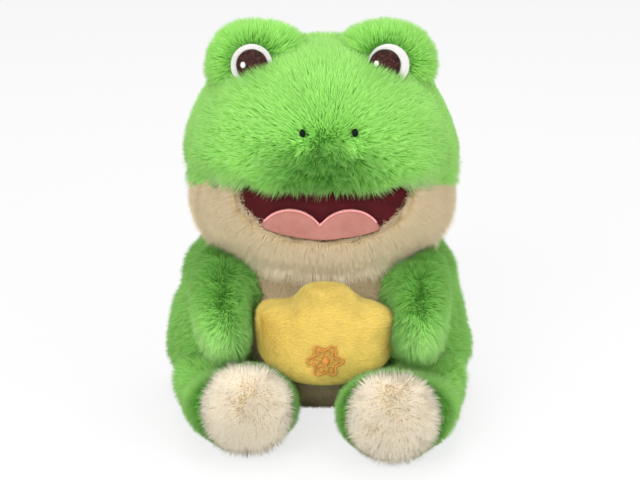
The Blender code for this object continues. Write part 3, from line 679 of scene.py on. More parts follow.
def from_mouth(rows):
    """How far out a place is from the middle of the smile; 1 is its edge."""
    side = np.abs(rows[:, 0] - MOUTH.x) / MOUTH_HALF
    down = np.clip((MOUTH_CORNERS - rows[:, 2]) / MOUTH_DROP, 0, None)
    out = (side ** MOUTH_FULLNESS + down ** MOUTH_FULLNESS) ** (1 / MOUTH_FULLNESS)
    return np.where(rows[:, 1] < FACE_FRONT, out, FAR_OUT)


def round_mouth(rows, low, high):
    """0 near the mouth, 1 further from it."""
    return smooth_step(from_mouth(rows), low, high)


def in_belly(rows):
    """1 on the cream belly and chest."""
    up = np.clip(rows[:, 2] - BELLY_HEIGHT, None, 0) / BELLY_HALF[1]
    across = np.hypot(rows[:, 0] / BELLY_HALF[0], up)
    return np.where(rows[:, 1] < BODY_FRONT, 1 - smooth_step(across, *BELLY_EDGE), 0)


def above_lip(rows):
    """1 on the part of the lower head that the green muzzle covers."""
    line = LIP_LINE - LIP_SLOPE * np.minimum(rows[:, 1], 0)
    green = smooth_step(rows[:, 2], line - EDGE_SOFT, line + EDGE_SOFT)
    return np.maximum(green, smooth_step(rows[:, 1], NAPE_SEAM - EDGE_SOFT, NAPE_SEAM + EDGE_SOFT))


def front_half(rows):
    """1 before the middle of the toy."""
    return (rows[:, 1] < FUR_SPLIT).astype(float)


print("nape seam (mm):", round(NAPE_SEAM * 1000, 1))

# %% Groom a skin
HIDDEN_ABOVE = 0.130
HIDDEN_SPAN = (0.85, 0.95)
SEWN_SPAN = (0.80, 0.95)
SHORTENED = 0.5


def groom(skin, fan, fall=0.3, bald=(), short=(), **marks):
    """Stores how the fur lies. bald and short list (place, inner, outer); marks are numbers or functions, and
    hidden is 1 or -1 where a flat top or bottom lies in the head."""
    rows, normals = points_of(skin.data), normals_of(skin.data)

    def level(value):
        return value(rows) if callable(value) else np.full(len(rows), float(value))

    comb = unit(rows - np.array(fan))
    comb[:, 2] -= level(fall)
    comb -= normals * np.sum(comb * normals, axis=1)[:, None]
    comb *= level(marks.get("lie", 1))[:, None]
    open_cloth = 1 - smooth_step(values_of(skin.data, "sewn"), *SEWN_SPAN)
    grow = np.maximum(open_cloth, level(marks.get("in_seam", 0))) * level(marks.get("grow", 1))
    hidden = smooth_step(normals[:, 2] * marks.get("hidden", 0), *HIDDEN_SPAN) * (rows[:, 2] > HIDDEN_ABOVE)
    grow *= 1 - hidden
    reach = level(marks.get("reach", 1))
    for place, inner, outer in bald:
        grow *= 1 - near_point(rows, place, inner, outer)
    for place, inner, outer in short:
        reach *= 1 - SHORTENED * near_point(rows, place, inner, outer)
    for name, values in (("comb", comb), ("grow", grow), ("reach", reach)):
        put_values(skin.data, name, values)
    # dim is painted shade above 0 and painted light below 0
    for name, usual in (("rough", 1), ("dim", 0), ("other", 0)):
        put_values(skin.data, name, level(marks.get(name, usual)))


print("marks: comb, grow, reach, rough, dim, other")

# %% Groom the head
EYES = {side: middle(f"pupil_{side}") for side in SIDES}
EYE_SHADE, EYE_SHADE_SPAN = 0.30, (0.010, 0.024)
# Painted light under each nostril, then painted shadow just above it.
NOSTRIL_SHADES = ((-0.50, -0.0075, 0.003, 0.009), (0.90, 0.0022, 0.002, 0.0085))  # amount, up, inner, outer
NOSTRIL_BALD, NOSTRIL_SHORT = (0.0012, 0.0030), (0.002, 0.009)
OVER_LIP = NOSE + Vector((-0.004, 0, -0.022))
OVER_LIP_SHAPE, OVER_LIP_SPAN, OVER_LIP_SHADE = (0.46, 0.44, 1.0), (0.004, 0.024), 0.80
FOREHEAD = NOSE + Vector((0, 0.020, 0.036))
FOREHEAD_SHADE, FOREHEAD_SPAN = 0.10, (0.020, 0.072)
FOREHEAD_FLAT, FOREHEAD_CALM = (0.030, 0.070), (0.026, 0.062)
BROW = {"right": 0.50, "left": 0.30}
BROW_PLACE, BROW_SPAN = Vector((-0.002, -0.002, -0.014)), (0.006, 0.019)
LEFT_TEMPLE, LEFT_TEMPLE_SPAN = (0.078, -0.010, 0.185), (0.012, 0.040)
HEAD_REACH, LIP_LONGER, TEMPLE_SHORTER = 0.85, 0.75, 0.50
FOREHEAD_CALMER, LIP_ROUGHER, FOREHEAD_LEANING, LIP_LIGHTER = 0.88, 0.9, 1.1, 0.95
LIP_EDGE_SPAN = (0.0030, 0.0105)
HEAD_FAN = NOSE + Vector((0, 0.026, -0.014))
HEAD_FALL, LOW_FALL, LIP_FALL, HANGING_BELOW = 0.10, 0.40, 0.6, (0.142, 0.160)
JAW_FAN = (MOUTH.x, -0.08, 0.150)
JAW_EDGE, JAW_TUFT, JAW_LYING, JAW_LONG = (0.96, 0.99), (1.0, 1.2), (1.0, 1.50), (1.25, 2.0)
JAW_GROWTH, JAW_THINNER = 1.8, 0.8
JAW_LEAN, JAW_LEANING = 0.30, 0.70
JAW_REACH, JAW_LONGER, CHIN_LONGER = 0.72, 0.55, 0.60
CHIN_SHADE, CHIN_PAINTED_LIGHT_SPAN, CHIN_LONG = -0.08, (0.090, 0.112), (0.104, 0.128)


def over_lip(rows):
    """1 in the middle of the muzzle, over the lip."""
    from_middle = (rows - np.array(OVER_LIP)) * OVER_LIP_SHAPE
    return 1 - smooth_step(np.linalg.norm(from_middle, axis=1), *OVER_LIP_SPAN)


def lip_edge(rows):
    """1 at the upper lip."""
    return near_nodes(rows, ["mouth_lining"], *LIP_EDGE_SPAN) * (rows[:, 1] < FACE_FRONT)


def head_dim(rows):
    """Painted shade over the lip, round the eyes and a little on the forehead; painted shadow just above each
    nostril and painted light on the fur under it.
    """
    dim = OVER_LIP_SHADE * over_lip(rows) + FOREHEAD_SHADE * near_point(rows, FOREHEAD, *FOREHEAD_SPAN)
    for side in SIDES:
        for amount, up, inner, outer in NOSTRIL_SHADES:
            dim += amount * near_point(rows, NOSTRILS[side] + Vector((0, 0, up)), inner, outer)
        dim += EYE_SHADE * near_point(rows, EYES[side], *EYE_SHADE_SPAN)
    return dim * (1 - lip_edge(rows))


def head_reach(rows):
    """Longer at the lip and under each eye, where the fur stands over it, and shorter at the left temple."""
    shorter = TEMPLE_SHORTER * near_point(rows, LEFT_TEMPLE, *LEFT_TEMPLE_SPAN)
    brow = sum(BROW[side] * near_point(rows, EYES[side] + BROW_PLACE * Vector((sign, 1, 1)), *BROW_SPAN)
               for side, sign in SIDES.items())
    return HEAD_REACH + LIP_LONGER * lip_edge(rows) - shorter + brow


def head_rough(rows):
    """Smooth on the forehead, and tufted over the lip."""
    return 1 - FOREHEAD_CALMER * near_point(rows, FOREHEAD, *FOREHEAD_CALM) + LIP_ROUGHER * over_lip(rows)


def jaw_grow(rows):
    """None in the mouth, and the most at its edge."""
    return round_mouth(rows, *JAW_EDGE) * (JAW_GROWTH - JAW_THINNER * round_mouth(rows, *JAW_TUFT))


def jaw_reach(rows):
    """Short at the mouth, and longest on the chin."""
    away_from_mouth = round_mouth(rows, *JAW_LONG)
    chin = CHIN_LONGER * away_from_mouth * below(rows, *CHIN_LONG)
    return JAW_REACH + JAW_LONGER * away_from_mouth + chin


# The upper lip's fringe takes the pale second colour as painted light, where its tips catch the light.
groom(skins["upper_head"], HEAD_FAN, hidden=-1, dim=head_dim, reach=head_reach, rough=head_rough,
      fall=lambda rows: HEAD_FALL + LOW_FALL * below(rows, *HANGING_BELOW) + LIP_FALL * lip_edge(rows),
      bald=[(place, *NOSTRIL_BALD) for place in NOSTRILS.values()],
      short=[(place, *NOSTRIL_SHORT) for place in NOSTRILS.values()],
      lie=lambda rows: 1 + FOREHEAD_LEANING * near_point(rows, FOREHEAD, *FOREHEAD_FLAT),
      other=lambda rows: LIP_LIGHTER * lip_edge(rows))
# On the lower jaw, painted light lifts the low front of the chin.
groom(skins["lower_head"], JAW_FAN, fall=0.7, hidden=1, other=above_lip, grow=jaw_grow, reach=jaw_reach,
      lie=lambda rows: JAW_LEAN + JAW_LEANING * round_mouth(rows, *JAW_LYING),
      dim=lambda rows: CHIN_SHADE * below(rows, *CHIN_PAINTED_LIGHT_SPAN) * (rows[:, 1] < 0))
print("groomed: the head")

# %% Groom the body, the ingot and the limbs
UNDER_JAW_SHADE, UNDER_JAW = 0.45, (0.070, 0.092)
FLANK_SHADE, BODY_FLANK = 0.32, (0.055, 0.080)
CROTCH_SHADE, BETWEEN_LEGS, BETWEEN_LEGS_HALF = 0.35, (0.008, 0.035), (0.030, 0.050)
BODY_DARKEST, DARK_FRONT = 0.6, (-0.025, 0.055)
BY_LEG_SHADE, BY_LEG = 0.45, (0.003, 0.012)
BY_INGOT_SHADE, BY_INGOT = 0.65, (0.004, 0.016)
BY_SOLE_SHADE, BY_SOLE_SHORTER, BY_SOLE = 0.50, 0.45, (0.004, 0.020)
ARM_TOP_SHADE, ARM_TOP = 0.55, (0.068, 0.092)
ARM_INNER_SHADE, ARM_INNER, ARM_INNER_TOP = 0.45, (0.044, 0.062), (0.045, 0.065)
ARM_REACH, HAND_LONGER, HAND_LONG = 0.9, 0.3, (0.040, 0.085)
HAND_LIGHTER, HAND_PALE = 0.45, (0.045, 0.085)
INGOT_LIGHT, INGOT_LIGHT_DEPTH = -0.16, 0.018
BODY_UNDER_REACH, BODY_REACH, BODY_REST = 0.35, 0.65, (0.004, 0.022)
LEG_UNDER_REACH, LEG_REACH, LEG_REST, LEG_SEAM_REST = 0.45, 0.55, (0.004, 0.020), (0.003, 0.006)
EYE_BALD, EYE_SHORT, EYE_RIM_SHADE, EYE_DARK = (0.0115, 0.0132), (0.012, 0.020), 0.35, (0.012, 0.021)
EYE_RIM_BACK, SOLE_FAN_BACK = 0.003, 0.03
BODY_FAN, INGOT_FAN = (0, -0.02, 0.13), (-0.10, -0.10, 0.06)
ARM_FAN, LEG_FAN = (0.052, -0.010, 0.150), (0.05, -0.02, 0.05)
LIMB_SEAM_GROWTH = 0.6


def arm_dim(rows):
    """Painted shade at the shoulder, under the jaw, and on the side that faces the chest."""
    inner = ARM_INNER_SHADE * (1 - outward(rows, *ARM_INNER)) * above(rows, *ARM_INNER_TOP)
    return np.maximum(ARM_TOP_SHADE * above(rows, *ARM_TOP), inner)


def torso_dim(rows):
    """Painted shade under the jaw, down the sides, between the legs and beside them."""
    dim = UNDER_JAW_SHADE * above(rows, *UNDER_JAW) + FLANK_SHADE * outward(rows, *BODY_FLANK)
    dim += CROTCH_SHADE * below(rows, *BETWEEN_LEGS) * (1 - outward(rows, *BETWEEN_LEGS_HALF))
    dim = np.minimum(dim, BODY_DARKEST) * (1 - smooth_step(rows[:, 1], *DARK_FRONT))
    beside = near_nodes(rows, ["leg_skin_left", "leg_skin_right"], *BY_LEG) * (rows[:, 1] < BODY_FRONT)
    return np.maximum(dim, BY_LEG_SHADE * beside)


def leg_dim(rows, side):
    """Painted shade round the sole and beside the ingot."""
    by_sole = near_nodes(rows, [f"sole_pad_{side}"], *BY_SOLE)
    return np.maximum(BY_SOLE_SHADE * by_sole, BY_INGOT_SHADE * near_nodes(rows, ["ingot_skin"], *BY_INGOT))


def leg_reach(rows, side):
    """Shorter under the leg and round the sole."""
    by_sole = near_nodes(rows, [f"sole_pad_{side}"], *BY_SOLE)
    return (LEG_UNDER_REACH + LEG_REACH * above(rows, *LEG_REST)) * (1 - BY_SOLE_SHORTER * by_sole)


groom(skins["torso"], BODY_FAN, fall=0.4, other=in_belly, dim=torso_dim,
      reach=lambda rows: BODY_UNDER_REACH + BODY_REACH * above(rows, *BODY_REST))
# Painted light on the lower half of the ingot.
groom(skins["ingot"], INGOT_FAN, fall=0.0,
      dim=lambda rows: INGOT_LIGHT * below(rows, INGOT_MIDDLE.z - INGOT_LIGHT_DEPTH, INGOT_MIDDLE.z))
for side, sign in SIDES.items():
    rim = EYES[side] + Vector((0, EYE_RIM_BACK, 0))
    # Painted shade in the fur round each eye's rim.
    groom(skins[f"mound_{side}"], rim, fall=0.0, bald=[(rim, *EYE_BALD)], short=[(rim, *EYE_SHORT)],
          dim=lambda rows: EYE_RIM_SHADE * near_point(rows, rim, *EYE_DARK))
    groom(skins[f"arm_{side}"], (sign * ARM_FAN[0], *ARM_FAN[1:]), fall=1.4, lie=0.85, dim=arm_dim,
          reach=lambda rows: ARM_REACH + HAND_LONGER * below(rows, *HAND_LONG),
          other=lambda rows: HAND_LIGHTER * below(rows, *HAND_PALE), in_seam=LIMB_SEAM_GROWTH)
    groom(skins[f"leg_{side}"], (sign * LEG_FAN[0], *LEG_FAN[1:]), fall=0.2,
          dim=lambda rows: leg_dim(rows, side), reach=lambda rows: leg_reach(rows, side),
          in_seam=lambda rows: LIMB_SEAM_GROWTH * above(rows, *LEG_SEAM_REST))
    low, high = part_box(f"sole_pad_{side}")
    sole_fan = ((low.x + high.x) / 2, low.y + SOLE_FAN_BACK, (low.z + high.z) / 2)
    groom(skins[f"sole_{side}"], sole_fan, fall=0.1)
print("groomed:", len(skins), "skins")

# %% [markdown]
# ## Trees of nodes
# Fur and stitches repeat thousands of times, so both are grown by Geometry Nodes. Hair curves would be
# lost in the export, so each fibre is a thin closed spike with three sides. The fur tree scatters them
# over a skin, turns each by the comb direction and two noises, a wide one for the swirls of the cloth
# and a fine one for its tufts, and realizes them all as one mesh.

# %% Helpers for trees
def vector_math(tree, operation, first, second):
    """The result of one sum of two vectors."""
    made = add_node(tree, "ShaderNodeVectorMath", {0: first, 1: second}, operation=operation)
    return made.outputs["Vector"]


def vector_scale(tree, vector, factor):
    """A vector times a number."""
    made = add_node(tree, "ShaderNodeVectorMath", {0: vector, "Scale": factor}, operation="SCALE")
    return made.outputs["Vector"]


def combined(tree, x, y, z):
    """A vector from three numbers."""
    return add_node(tree, "ShaderNodeCombineXYZ", {"X": x, "Y": y, "Z": z}).outputs["Vector"]


def three(tree, value):
    """A vector with the same number three times."""
    return combined(tree, value, value, value)


def noise_at(tree, place, size, detail=1.0):
    """A noise node whose wavelength is size."""
    scaled = vector_math(tree, "DIVIDE", place, three(tree, size))
    return add_node(tree, "ShaderNodeTexNoise", {"Vector": scaled, "Scale": 1.0, "Detail": detail})


def stored(tree, name, kind="FLOAT"):
    """A value stored on the mesh, in a Geometry Nodes tree."""
    made = add_node(tree, "GeometryNodeInputNamedAttribute", {"Name": name}, data_type=kind)
    return made.outputs["Attribute"]


def store(tree, geometry, name, value, kind="FLOAT"):
    """The geometry with a value stored at each point."""
    inputs = {"Geometry": geometry, "Name": name, "Value": value}
    made = add_node(tree, "GeometryNodeStoreNamedAttribute", inputs, data_type=kind, domain="POINT")
    return made.outputs["Geometry"]


def random_number(tree, seed, low=0.0, high=1.0):
    """A random number for each point."""
    inputs = {2: low, 3: high, "Seed": seed}
    return add_node(tree, "FunctionNodeRandomValue", inputs, data_type="FLOAT").outputs[1]


def new_group(name, kind, going_in, coming_out):
    """A node group with its sockets: name, kind and value going in, name and kind coming out."""
    group = bpy.data.node_groups.new(name, kind)
    for socket_name, socket_kind, value in going_in:
        socket_type = f"NodeSocket{socket_kind}"
        socket = group.interface.new_socket(socket_name, in_out="INPUT", socket_type=socket_type)
        if value is not None:
            socket.default_value = value
    for socket_name, socket_kind in coming_out:
        group.interface.new_socket(socket_name, in_out="OUTPUT", socket_type=f"NodeSocket{socket_kind}")
    return group, group.nodes.new("NodeGroupInput").outputs


def new_tree(name, sizes):
    """A Geometry Nodes tree with a geometry, its named sizes, a seed and a material going in."""
    going_in = [("Geometry", "Geometry", None), *((size, "Float", value) for size, value in sizes.items()),
                ("Seed", "Int", 1), ("Material", "Material", None)]
    return new_group(name, "GeometryNodeTree", going_in, [("Geometry", "Geometry")])


def close_tree(tree, instances, paint):
    """Realizes the instances, paints them and ends the tree."""
    real = add_node(tree, "GeometryNodeRealizeInstances", {"Geometry": instances})
    finished = add_node(tree, "GeometryNodeSetMaterial", {"Geometry": real.outputs[0], "Material": paint})
    add_node(tree, "NodeGroupOutput", {"Geometry": finished.outputs[0]})
    return tree


def grow_on(bed, tree, values):
    """The plain mesh that a tree makes on an object; the object goes. Inputs are set by their identifiers."""
    modifier = bed.modifiers.new(tree.name, "NODES")
    modifier.node_group = tree
    for item in tree.interface.items_tree:
        if item.in_out == "INPUT" and item.name in values:
            modifier[item.identifier] = values[item.name]
    mesh = evaluated_mesh(bed)
    bpy.data.objects.remove(bed)
    return mesh


print("helpers for trees ready")

# %% Build the fur tree
FUR_SIZES = {"Density": 2.6e6, "Length": 0.008, "Width": 0.00019, "Length Spread": 0.40, "Lean": 0.50,
             "Swirl": 1.2, "Swirl Size": 0.022, "Tuft": 1.3, "Tuft Size": 0.0045}
SPIKE = {"Vertices": 3, "Side Segments": 1, "Fill Segments": 1, "Radius Top": 0.0,
         "Radius Bottom": 1.0, "Depth": 1.0}
SHADE_SEED, SPIN_SEED, CUT_SEED = 11, 5, 7


def fur_tree():
    """The tree that grows fur on a skin."""
    tree, given = new_tree("fur", FUR_SIZES)
    density = number_math(tree, "MULTIPLY", given["Density"], stored(tree, "grow"))
    scatter = add_node(tree, "GeometryNodeDistributePointsOnFaces",
                       {"Mesh": given["Geometry"], "Density": density, "Seed": given["Seed"]})
    place = add_node(tree, "GeometryNodeInputPosition").outputs["Position"]
    points = store(tree, scatter.outputs["Points"], "skin_normal", scatter.outputs["Normal"], "FLOAT_VECTOR")
    points = store(tree, points, "shade", random_number(tree, SHADE_SEED))
    lean = vector_scale(tree, stored(tree, "comb", "FLOAT_VECTOR"), given["Lean"])
    direction = vector_math(tree, "ADD", scatter.outputs["Normal"], lean)
    for amount in ("Swirl", "Tuft"):
        wander = noise_at(tree, place, given[f"{amount} Size"]).outputs["Color"]
        wander = vector_math(tree, "SUBTRACT", wander, (0.5, 0.5, 0.5))
        strength = number_math(tree, "MULTIPLY", given[amount], stored(tree, "rough"))
        direction = vector_math(tree, "ADD", direction, vector_scale(tree, wander, strength))
    upright = add_node(tree, "FunctionNodeAlignRotationToVector", {"Vector": direction}, axis="Z")
    turn = random_number(tree, SPIN_SEED, 0.0, 2 * math.pi)
    spin = add_node(tree, "FunctionNodeAxisAngleToRotation", {"Axis": (0.0, 0.0, 1.0), "Angle": turn})
    turned = add_node(tree, "FunctionNodeRotateRotation",
                      {"Rotation": upright.outputs[0], "Rotate By": spin.outputs[0]}, rotation_space="LOCAL")
    cut_share = number_math(tree, "MULTIPLY", given["Length Spread"], random_number(tree, CUT_SEED))
    length = number_math(tree, "MULTIPLY", given["Length"], number_math(tree, "SUBTRACT", 1.0, cut_share))
    length = number_math(tree, "MULTIPLY", length, stored(tree, "reach"))
    spike = add_node(tree, "GeometryNodeMeshCone", SPIKE).outputs["Mesh"]
    height = add_node(tree, "ShaderNodeSeparateXYZ", {"Vector": place}).outputs["Z"]
    strands = add_node(tree, "GeometryNodeInstanceOnPoints",
                       {"Points": points, "Instance": store(tree, spike, "tip", height),
                        "Rotation": turned.outputs[0],
                        "Scale": combined(tree, given["Width"], given["Width"], length)})
    return close_tree(tree, strands.outputs[0], given["Material"])


FUR = fur_tree()
print("fur tree sizes:", FUR_SIZES)

# %% [markdown]
# ## Plush colours
# A plush fibre is painted deep at its root, as painted shade where little light gets in, and pale at
# its tip. The fibres also differ a little from each other, and the dye varies over a hand's breadth. All the
# plush here does this, so it is one shader group, placed in each material with its own colours.

# %% Helpers for looks
def mixed(tree, factor, first, second, blend="MIX"):
    """Two colours mixed."""
    sockets = {0: factor, 6: first, 7: second}
    return add_node(tree, "ShaderNodeMix", sockets, data_type="RGBA", blend_type=blend).outputs[2]


def mark(tree, name):
    """A value stored on the mesh, in a shader."""
    return add_node(tree, "ShaderNodeAttribute", attribute_name=name).outputs["Fac"]


def ramp(tree, value, low, high):
    """A value from low to high as 0 to 1."""
    inputs = {"Value": value, "From Min": low, "From Max": high}
    return add_node(tree, "ShaderNodeMapRange", inputs).outputs[0]


def around_middle(tree, value, amount):
    """A value between 0 and 1 as one between -amount / 2 and amount / 2."""
    return number_math(tree, "MULTIPLY", number_math(tree, "SUBTRACT", value, 0.5), amount)


def object_place(tree):
    """Where a point of the surface lies, in metres."""
    return add_node(tree, "ShaderNodeTexCoord").outputs["Object"]


def look_group(name, colours, numbers, normal=False):
    """A shader node group that puts out a colour, and a normal too if it has one."""
    going_in = [(colour, "Color", None) for colour in colours]
    going_in += [(number, "Float", value) for number, value in numbers.items()]
    coming_out = [("Colour", "Color"), ("Normal", "Vector")] if normal else [("Colour", "Color")]
    return new_group(name, "ShaderNodeTree", going_in, coming_out)


def look_material(name, look, colours, numbers, **finish):
    """A material with one of the shared looks. finish sets inputs of the Principled shader."""
    made, tree = new_material(name)
    given = {**{key: (*colour, 1) for key, colour in colours.items()}, **numbers}
    group = add_node(tree, "ShaderNodeGroup", node_tree=look)
    for socket, value in given.items():
        group.inputs[socket].default_value = value
    inputs = {"Base Color": group.outputs["Colour"]}
    if "Normal" in group.outputs:
        inputs["Normal"] = group.outputs["Normal"]
    inputs |= {key.replace("_", " ").title().replace("Ior", "IOR"): value for key, value in finish.items()}
    shader = add_node(tree, "ShaderNodeBsdfPrincipled", inputs)
    add_node(tree, "ShaderNodeOutputMaterial", {"Surface": shader.outputs[0]})
    return made


print("helpers for looks ready")

# %% Build the plush materials
PILE_TONES = ("Root", "Middle", "Tip", "Other", "Shade")
# How much deeper the painted shade falls at a fibre's root than at its tip.
ROOT_DARKENING, TIP_RELIEF = 1.35, 0.7


def pile_colour_group():
    """Root, middle and tip colours along a fibre, its own random shade, and a slow drift over the toy; the
    deep root colour is painted shade. Where the skin is marked with painted shading it turns to the shade
    colour, most of all at the roots, as painted shade; below 0 it is painted lighter."""
    numbers = {"Fibre Change": 0.3, "Drift": 0.15, "Drift Size": 0.03}
    group, given = look_group("pile_colour", PILE_TONES, numbers)
    tip = mark(group, "tip")
    colour = mixed(group, ramp(group, tip, 0.0, 0.5), given["Root"], given["Middle"])
    colour = mixed(group, ramp(group, tip, 0.5, 1.0), colour, given["Tip"])
    colour = mixed(group, mark(group, "other"), colour, given["Other"])
    drift = noise_at(group, object_place(group), given["Drift Size"], 2.0).outputs["Fac"]
    bright = number_math(group, "ADD", 1.0, around_middle(group, drift, given["Drift"]))
    own = around_middle(group, mark(group, "shade"), given["Fibre Change"])
    bright = number_math(group, "ADD", bright, own)
    depth = number_math(group, "SUBTRACT", ROOT_DARKENING, number_math(group, "MULTIPLY", tip, TIP_RELIEF))
    dark = number_math(group, "MULTIPLY", mark(group, "dim"), depth)
    colour = mixed(group, dark, colour, given["Shade"])
    light = number_math(group, "SUBTRACT", 1.0, number_math(group, "MINIMUM", dark, 0.0))
    final = mixed(group, 1.0, colour, three(group, number_math(group, "MULTIPLY", bright, light)), "MULTIPLY")
    add_node(group, "NodeGroupOutput", {"Colour": final})
    return group


PILE_COLOUR = pile_colour_group()


def pile_material(name, *tones, change=0.24, drift=0.25, drift_size=0.03):
    """A plush material, with the tones of its root, middle, tip, second colour and shade."""
    numbers = {"Fibre Change": change, "Drift": drift, "Drift Size": drift_size}
    return look_material(name, PILE_COLOUR, dict(zip(PILE_TONES, tones)), numbers, roughness=0.75,
                         specular_ior_level=0.25)


# Root, middle and tip tones of each plush; the deep root tone is painted shade.
GREEN = ((0.10, 0.38, 0.03), (0.30, 0.77, 0.11), (0.53, 0.95, 0.30))
CREAM = ((0.60, 0.46, 0.26), (0.68, 0.54, 0.335), (0.74, 0.615, 0.41))
YELLOW = ((0.75, 0.51, 0.09), (0.81, 0.60, 0.135), (0.85, 0.68, 0.21))
GREEN_LIGHT, CREAM_LIGHT, GREEN_BACKING_SHADOW = (0.62, 0.90, 0.42), (0.94, 0.86, 0.70), (0.05, 0.20, 0.015)
GREEN_SHADE, CREAM_SHADE, YELLOW_SHADE = (0.030, 0.190, 0.008), (0.20, 0.14, 0.02), (0.45, 0.27, 0.03)
GREEN_PLUSH = pile_material("green_plush", *GREEN, GREEN_LIGHT, GREEN_SHADE)
CREAM_PLUSH = pile_material("cream_plush", *CREAM, CREAM_LIGHT, CREAM_SHADE, change=0.06, drift=0.08)
YELLOW_PLUSH = pile_material("yellow_plush", *YELLOW, YELLOW[2], YELLOW_SHADE, change=0.2, drift=0.45,
                             drift_size=0.012)
# Backings show between the fibres, so they take root tones as painted shade; the green one is deeper still,
# painted shadow where cloth shows, as round the soles.
GREEN_BACKING = pile_material("green_backing", *[GREEN_BACKING_SHADOW] * 3, CREAM[0], GREEN_SHADE)
CREAM_BACKING = pile_material("cream_backing", *[CREAM[0]] * 3, GREEN[0], CREAM_SHADE)
YELLOW_BACKING = pile_material("yellow_backing", *[YELLOW[0]] * 4, YELLOW_SHADE)
print("plush materials: green, cream and yellow, and their backings")

# %% Grow fur on a skin
NORMAL_OF_SKIN = 0.75
LOWEST_TIP = 0.0004
VERTICES_OF_FIBRE = 4
WORKING_MARKS = ("skin_normal", "comb", "grow", "reach", "rough", "sewn")


def fur(name, skin, paint, region=None, seed=1, smooth=NORMAL_OF_SKIN, turn=(0, 0, 0), second=None, **sizes):
    """Fur on a region of a skin, as a plain mesh whose shading follows the skin's by the share smooth, turned
    a little by turn, since light gets under soft fur. second is how much it takes of its material's second
    colour, where that isn't what the skin says."""
    bed = new_object(name, skin.data.copy())
    rows = points_of(bed.data)
    if region is not None:
        put_values(bed.data, "grow", values_of(bed.data, "grow") * region(rows))
    if second is not None:
        put_values(bed.data, "other", second(rows))
    values = {**FUR_SIZES, **{key.replace("_", " ").title(): value for key, value in sizes.items()}}
    mesh = grow_on(bed, FUR, {**values, "Seed": seed, "Material": paint})
    rows = points_of(mesh)
    rows[:, 2] = np.maximum(rows[:, 2], LOWEST_TIP)
    put_points(mesh, rows)
    of_skin = read_rows(mesh.attributes["skin_normal"].data, "vector")
    shown = unit(of_skin * smooth + normals_of(mesh) * (1 - smooth) + np.array(turn))
    mesh.shade_smooth()
    mesh.normals_split_custom_set_from_vertices(shown.tolist())
    drop_values(mesh, WORKING_MARKS)
    mesh.calc_loop_triangles()
    print(name, "fibres:", len(rows) // VERTICES_OF_FIBRE, "triangles:", len(mesh.loop_triangles))
    return new_object(name, mesh)


def back_half(rows):
    """1 behind the middle of the toy."""
    return 1 - front_half(rows)


def jaw_cream(rows):
    """1 on the cream jaw."""
    return 1 - above_lip(rows)


def jaw_green(rows):
    """1 on the muzzle's part of the lower head."""
    return above_lip(rows) * (rows[:, 1] < NAPE_SEAM)


def nape_green(rows):
    """1 on the nape."""
    return (rows[:, 1] >= NAPE_SEAM).astype(float)


def front_green(rows):
    """1 on the front of the body, beside the cream belly."""
    return front_half(rows) * (1 - in_belly(rows))


def none_of_it(rows):
    """0 everywhere."""
    return np.zeros(len(rows))


def side_of(sign, region):
    """A region on one side only."""
    return lambda rows: region(rows) * ((rows[:, 0] >= 0) == (sign > 0))


print("regions ready")

# %% Dress the toy in fur
FACE = {"density": 3.0e6, "smooth": 0.82, "width": 0.00024, "length_spread": 0.30}
BACK = {"density": 1.9e6, "width": 0.00022}
JAW = {"density": 3.2e6, "smooth": 0.94, "lean": 1.0, "swirl": 0.8, "tuft": 0.7, "turn": (0, -0.4, 0.25)}
SOLE = {"length": 0.0078, "density": 5.0e6, "lean": 0.45, "swirl": 0.8, "swirl_size": 0.010, "tuft": 0.7,
        "tuft_size": 0.0028, "smooth": 0.85}
SHORT_PILE = {"length": 0.0038, "width": 0.00016, "density": 3.6e6, "lean": 2.2, "swirl": 0.9,
              "swirl_size": 0.015, "tuft": 0.7, "turn": (0, -0.35, 0.15)}
CHIN_LIGHT, CHIN_LIGHT_TOP, SOLE_LIGHT = 0.55, (0.080, 0.118), 0.85
FIRST_SEEDS = {"left": 2, "right": 42}

furs = {}
for side, sign in SIDES.items():
    for part, kind, skin, region, after, sizes in (
            ("head_front", "head_fur_front", "upper_head", side_of(sign, front_half), 0, FACE),
            ("head_back", "head_fur_back", "upper_head", side_of(sign, back_half), 1, BACK),
            ("torso_back", "body_fur_back", "torso", side_of(sign, back_half), 5, BACK),
            ("mound", "eye_mound_fur", f"mound_{side}", None, 8, {"length": 0.0065}),
            ("arm", "arm_fur", f"arm_{side}", None, 9, {"length": 0.0085}),
            ("leg", "leg_fur", f"leg_{side}", None, 10, {})):
        furs[f"{part}_{side}"] = fur(f"{kind}_{side}", skins[skin], GREEN_PLUSH, region,
                                     seed=FIRST_SEEDS[side] + after, **sizes)
    furs[f"sole_{side}"] = fur(f"sole_fur_{side}", skins[f"sole_{side}"], CREAM_PLUSH,
                               second=lambda rows: SOLE_LIGHT + none_of_it(rows),
                               seed=FIRST_SEEDS[side] + 11, **SOLE)
# The chin's lower fur takes the pale cream as painted light.
furs["jaw"] = fur("jaw_fur", skins["lower_head"], CREAM_PLUSH, jaw_cream, seed=4,
                  second=lambda rows: CHIN_LIGHT * below(rows, *CHIN_LIGHT_TOP), **JAW)
furs["muzzle"] = fur("muzzle_edge_fur", skins["lower_head"], GREEN_PLUSH, jaw_green, seed=14,
                     second=none_of_it)
furs["nape"] = fur("nape_fur", skins["lower_head"], GREEN_PLUSH, nape_green, seed=5,
                   second=none_of_it, **BACK)
furs["torso_front"] = fur("body_fur_front", skins["torso"], GREEN_PLUSH, front_green, seed=6)
furs["belly"] = fur("belly_fur", skins["torso"], CREAM_PLUSH, in_belly, seed=8, length=0.006,
                    second=none_of_it)
furs["ingot"] = fur("ingot_pile", skins["ingot"], YELLOW_PLUSH, seed=9, **SHORT_PILE)
print("fur triangles:", sum(len(piece.data.loop_triangles) for piece in furs.values()))

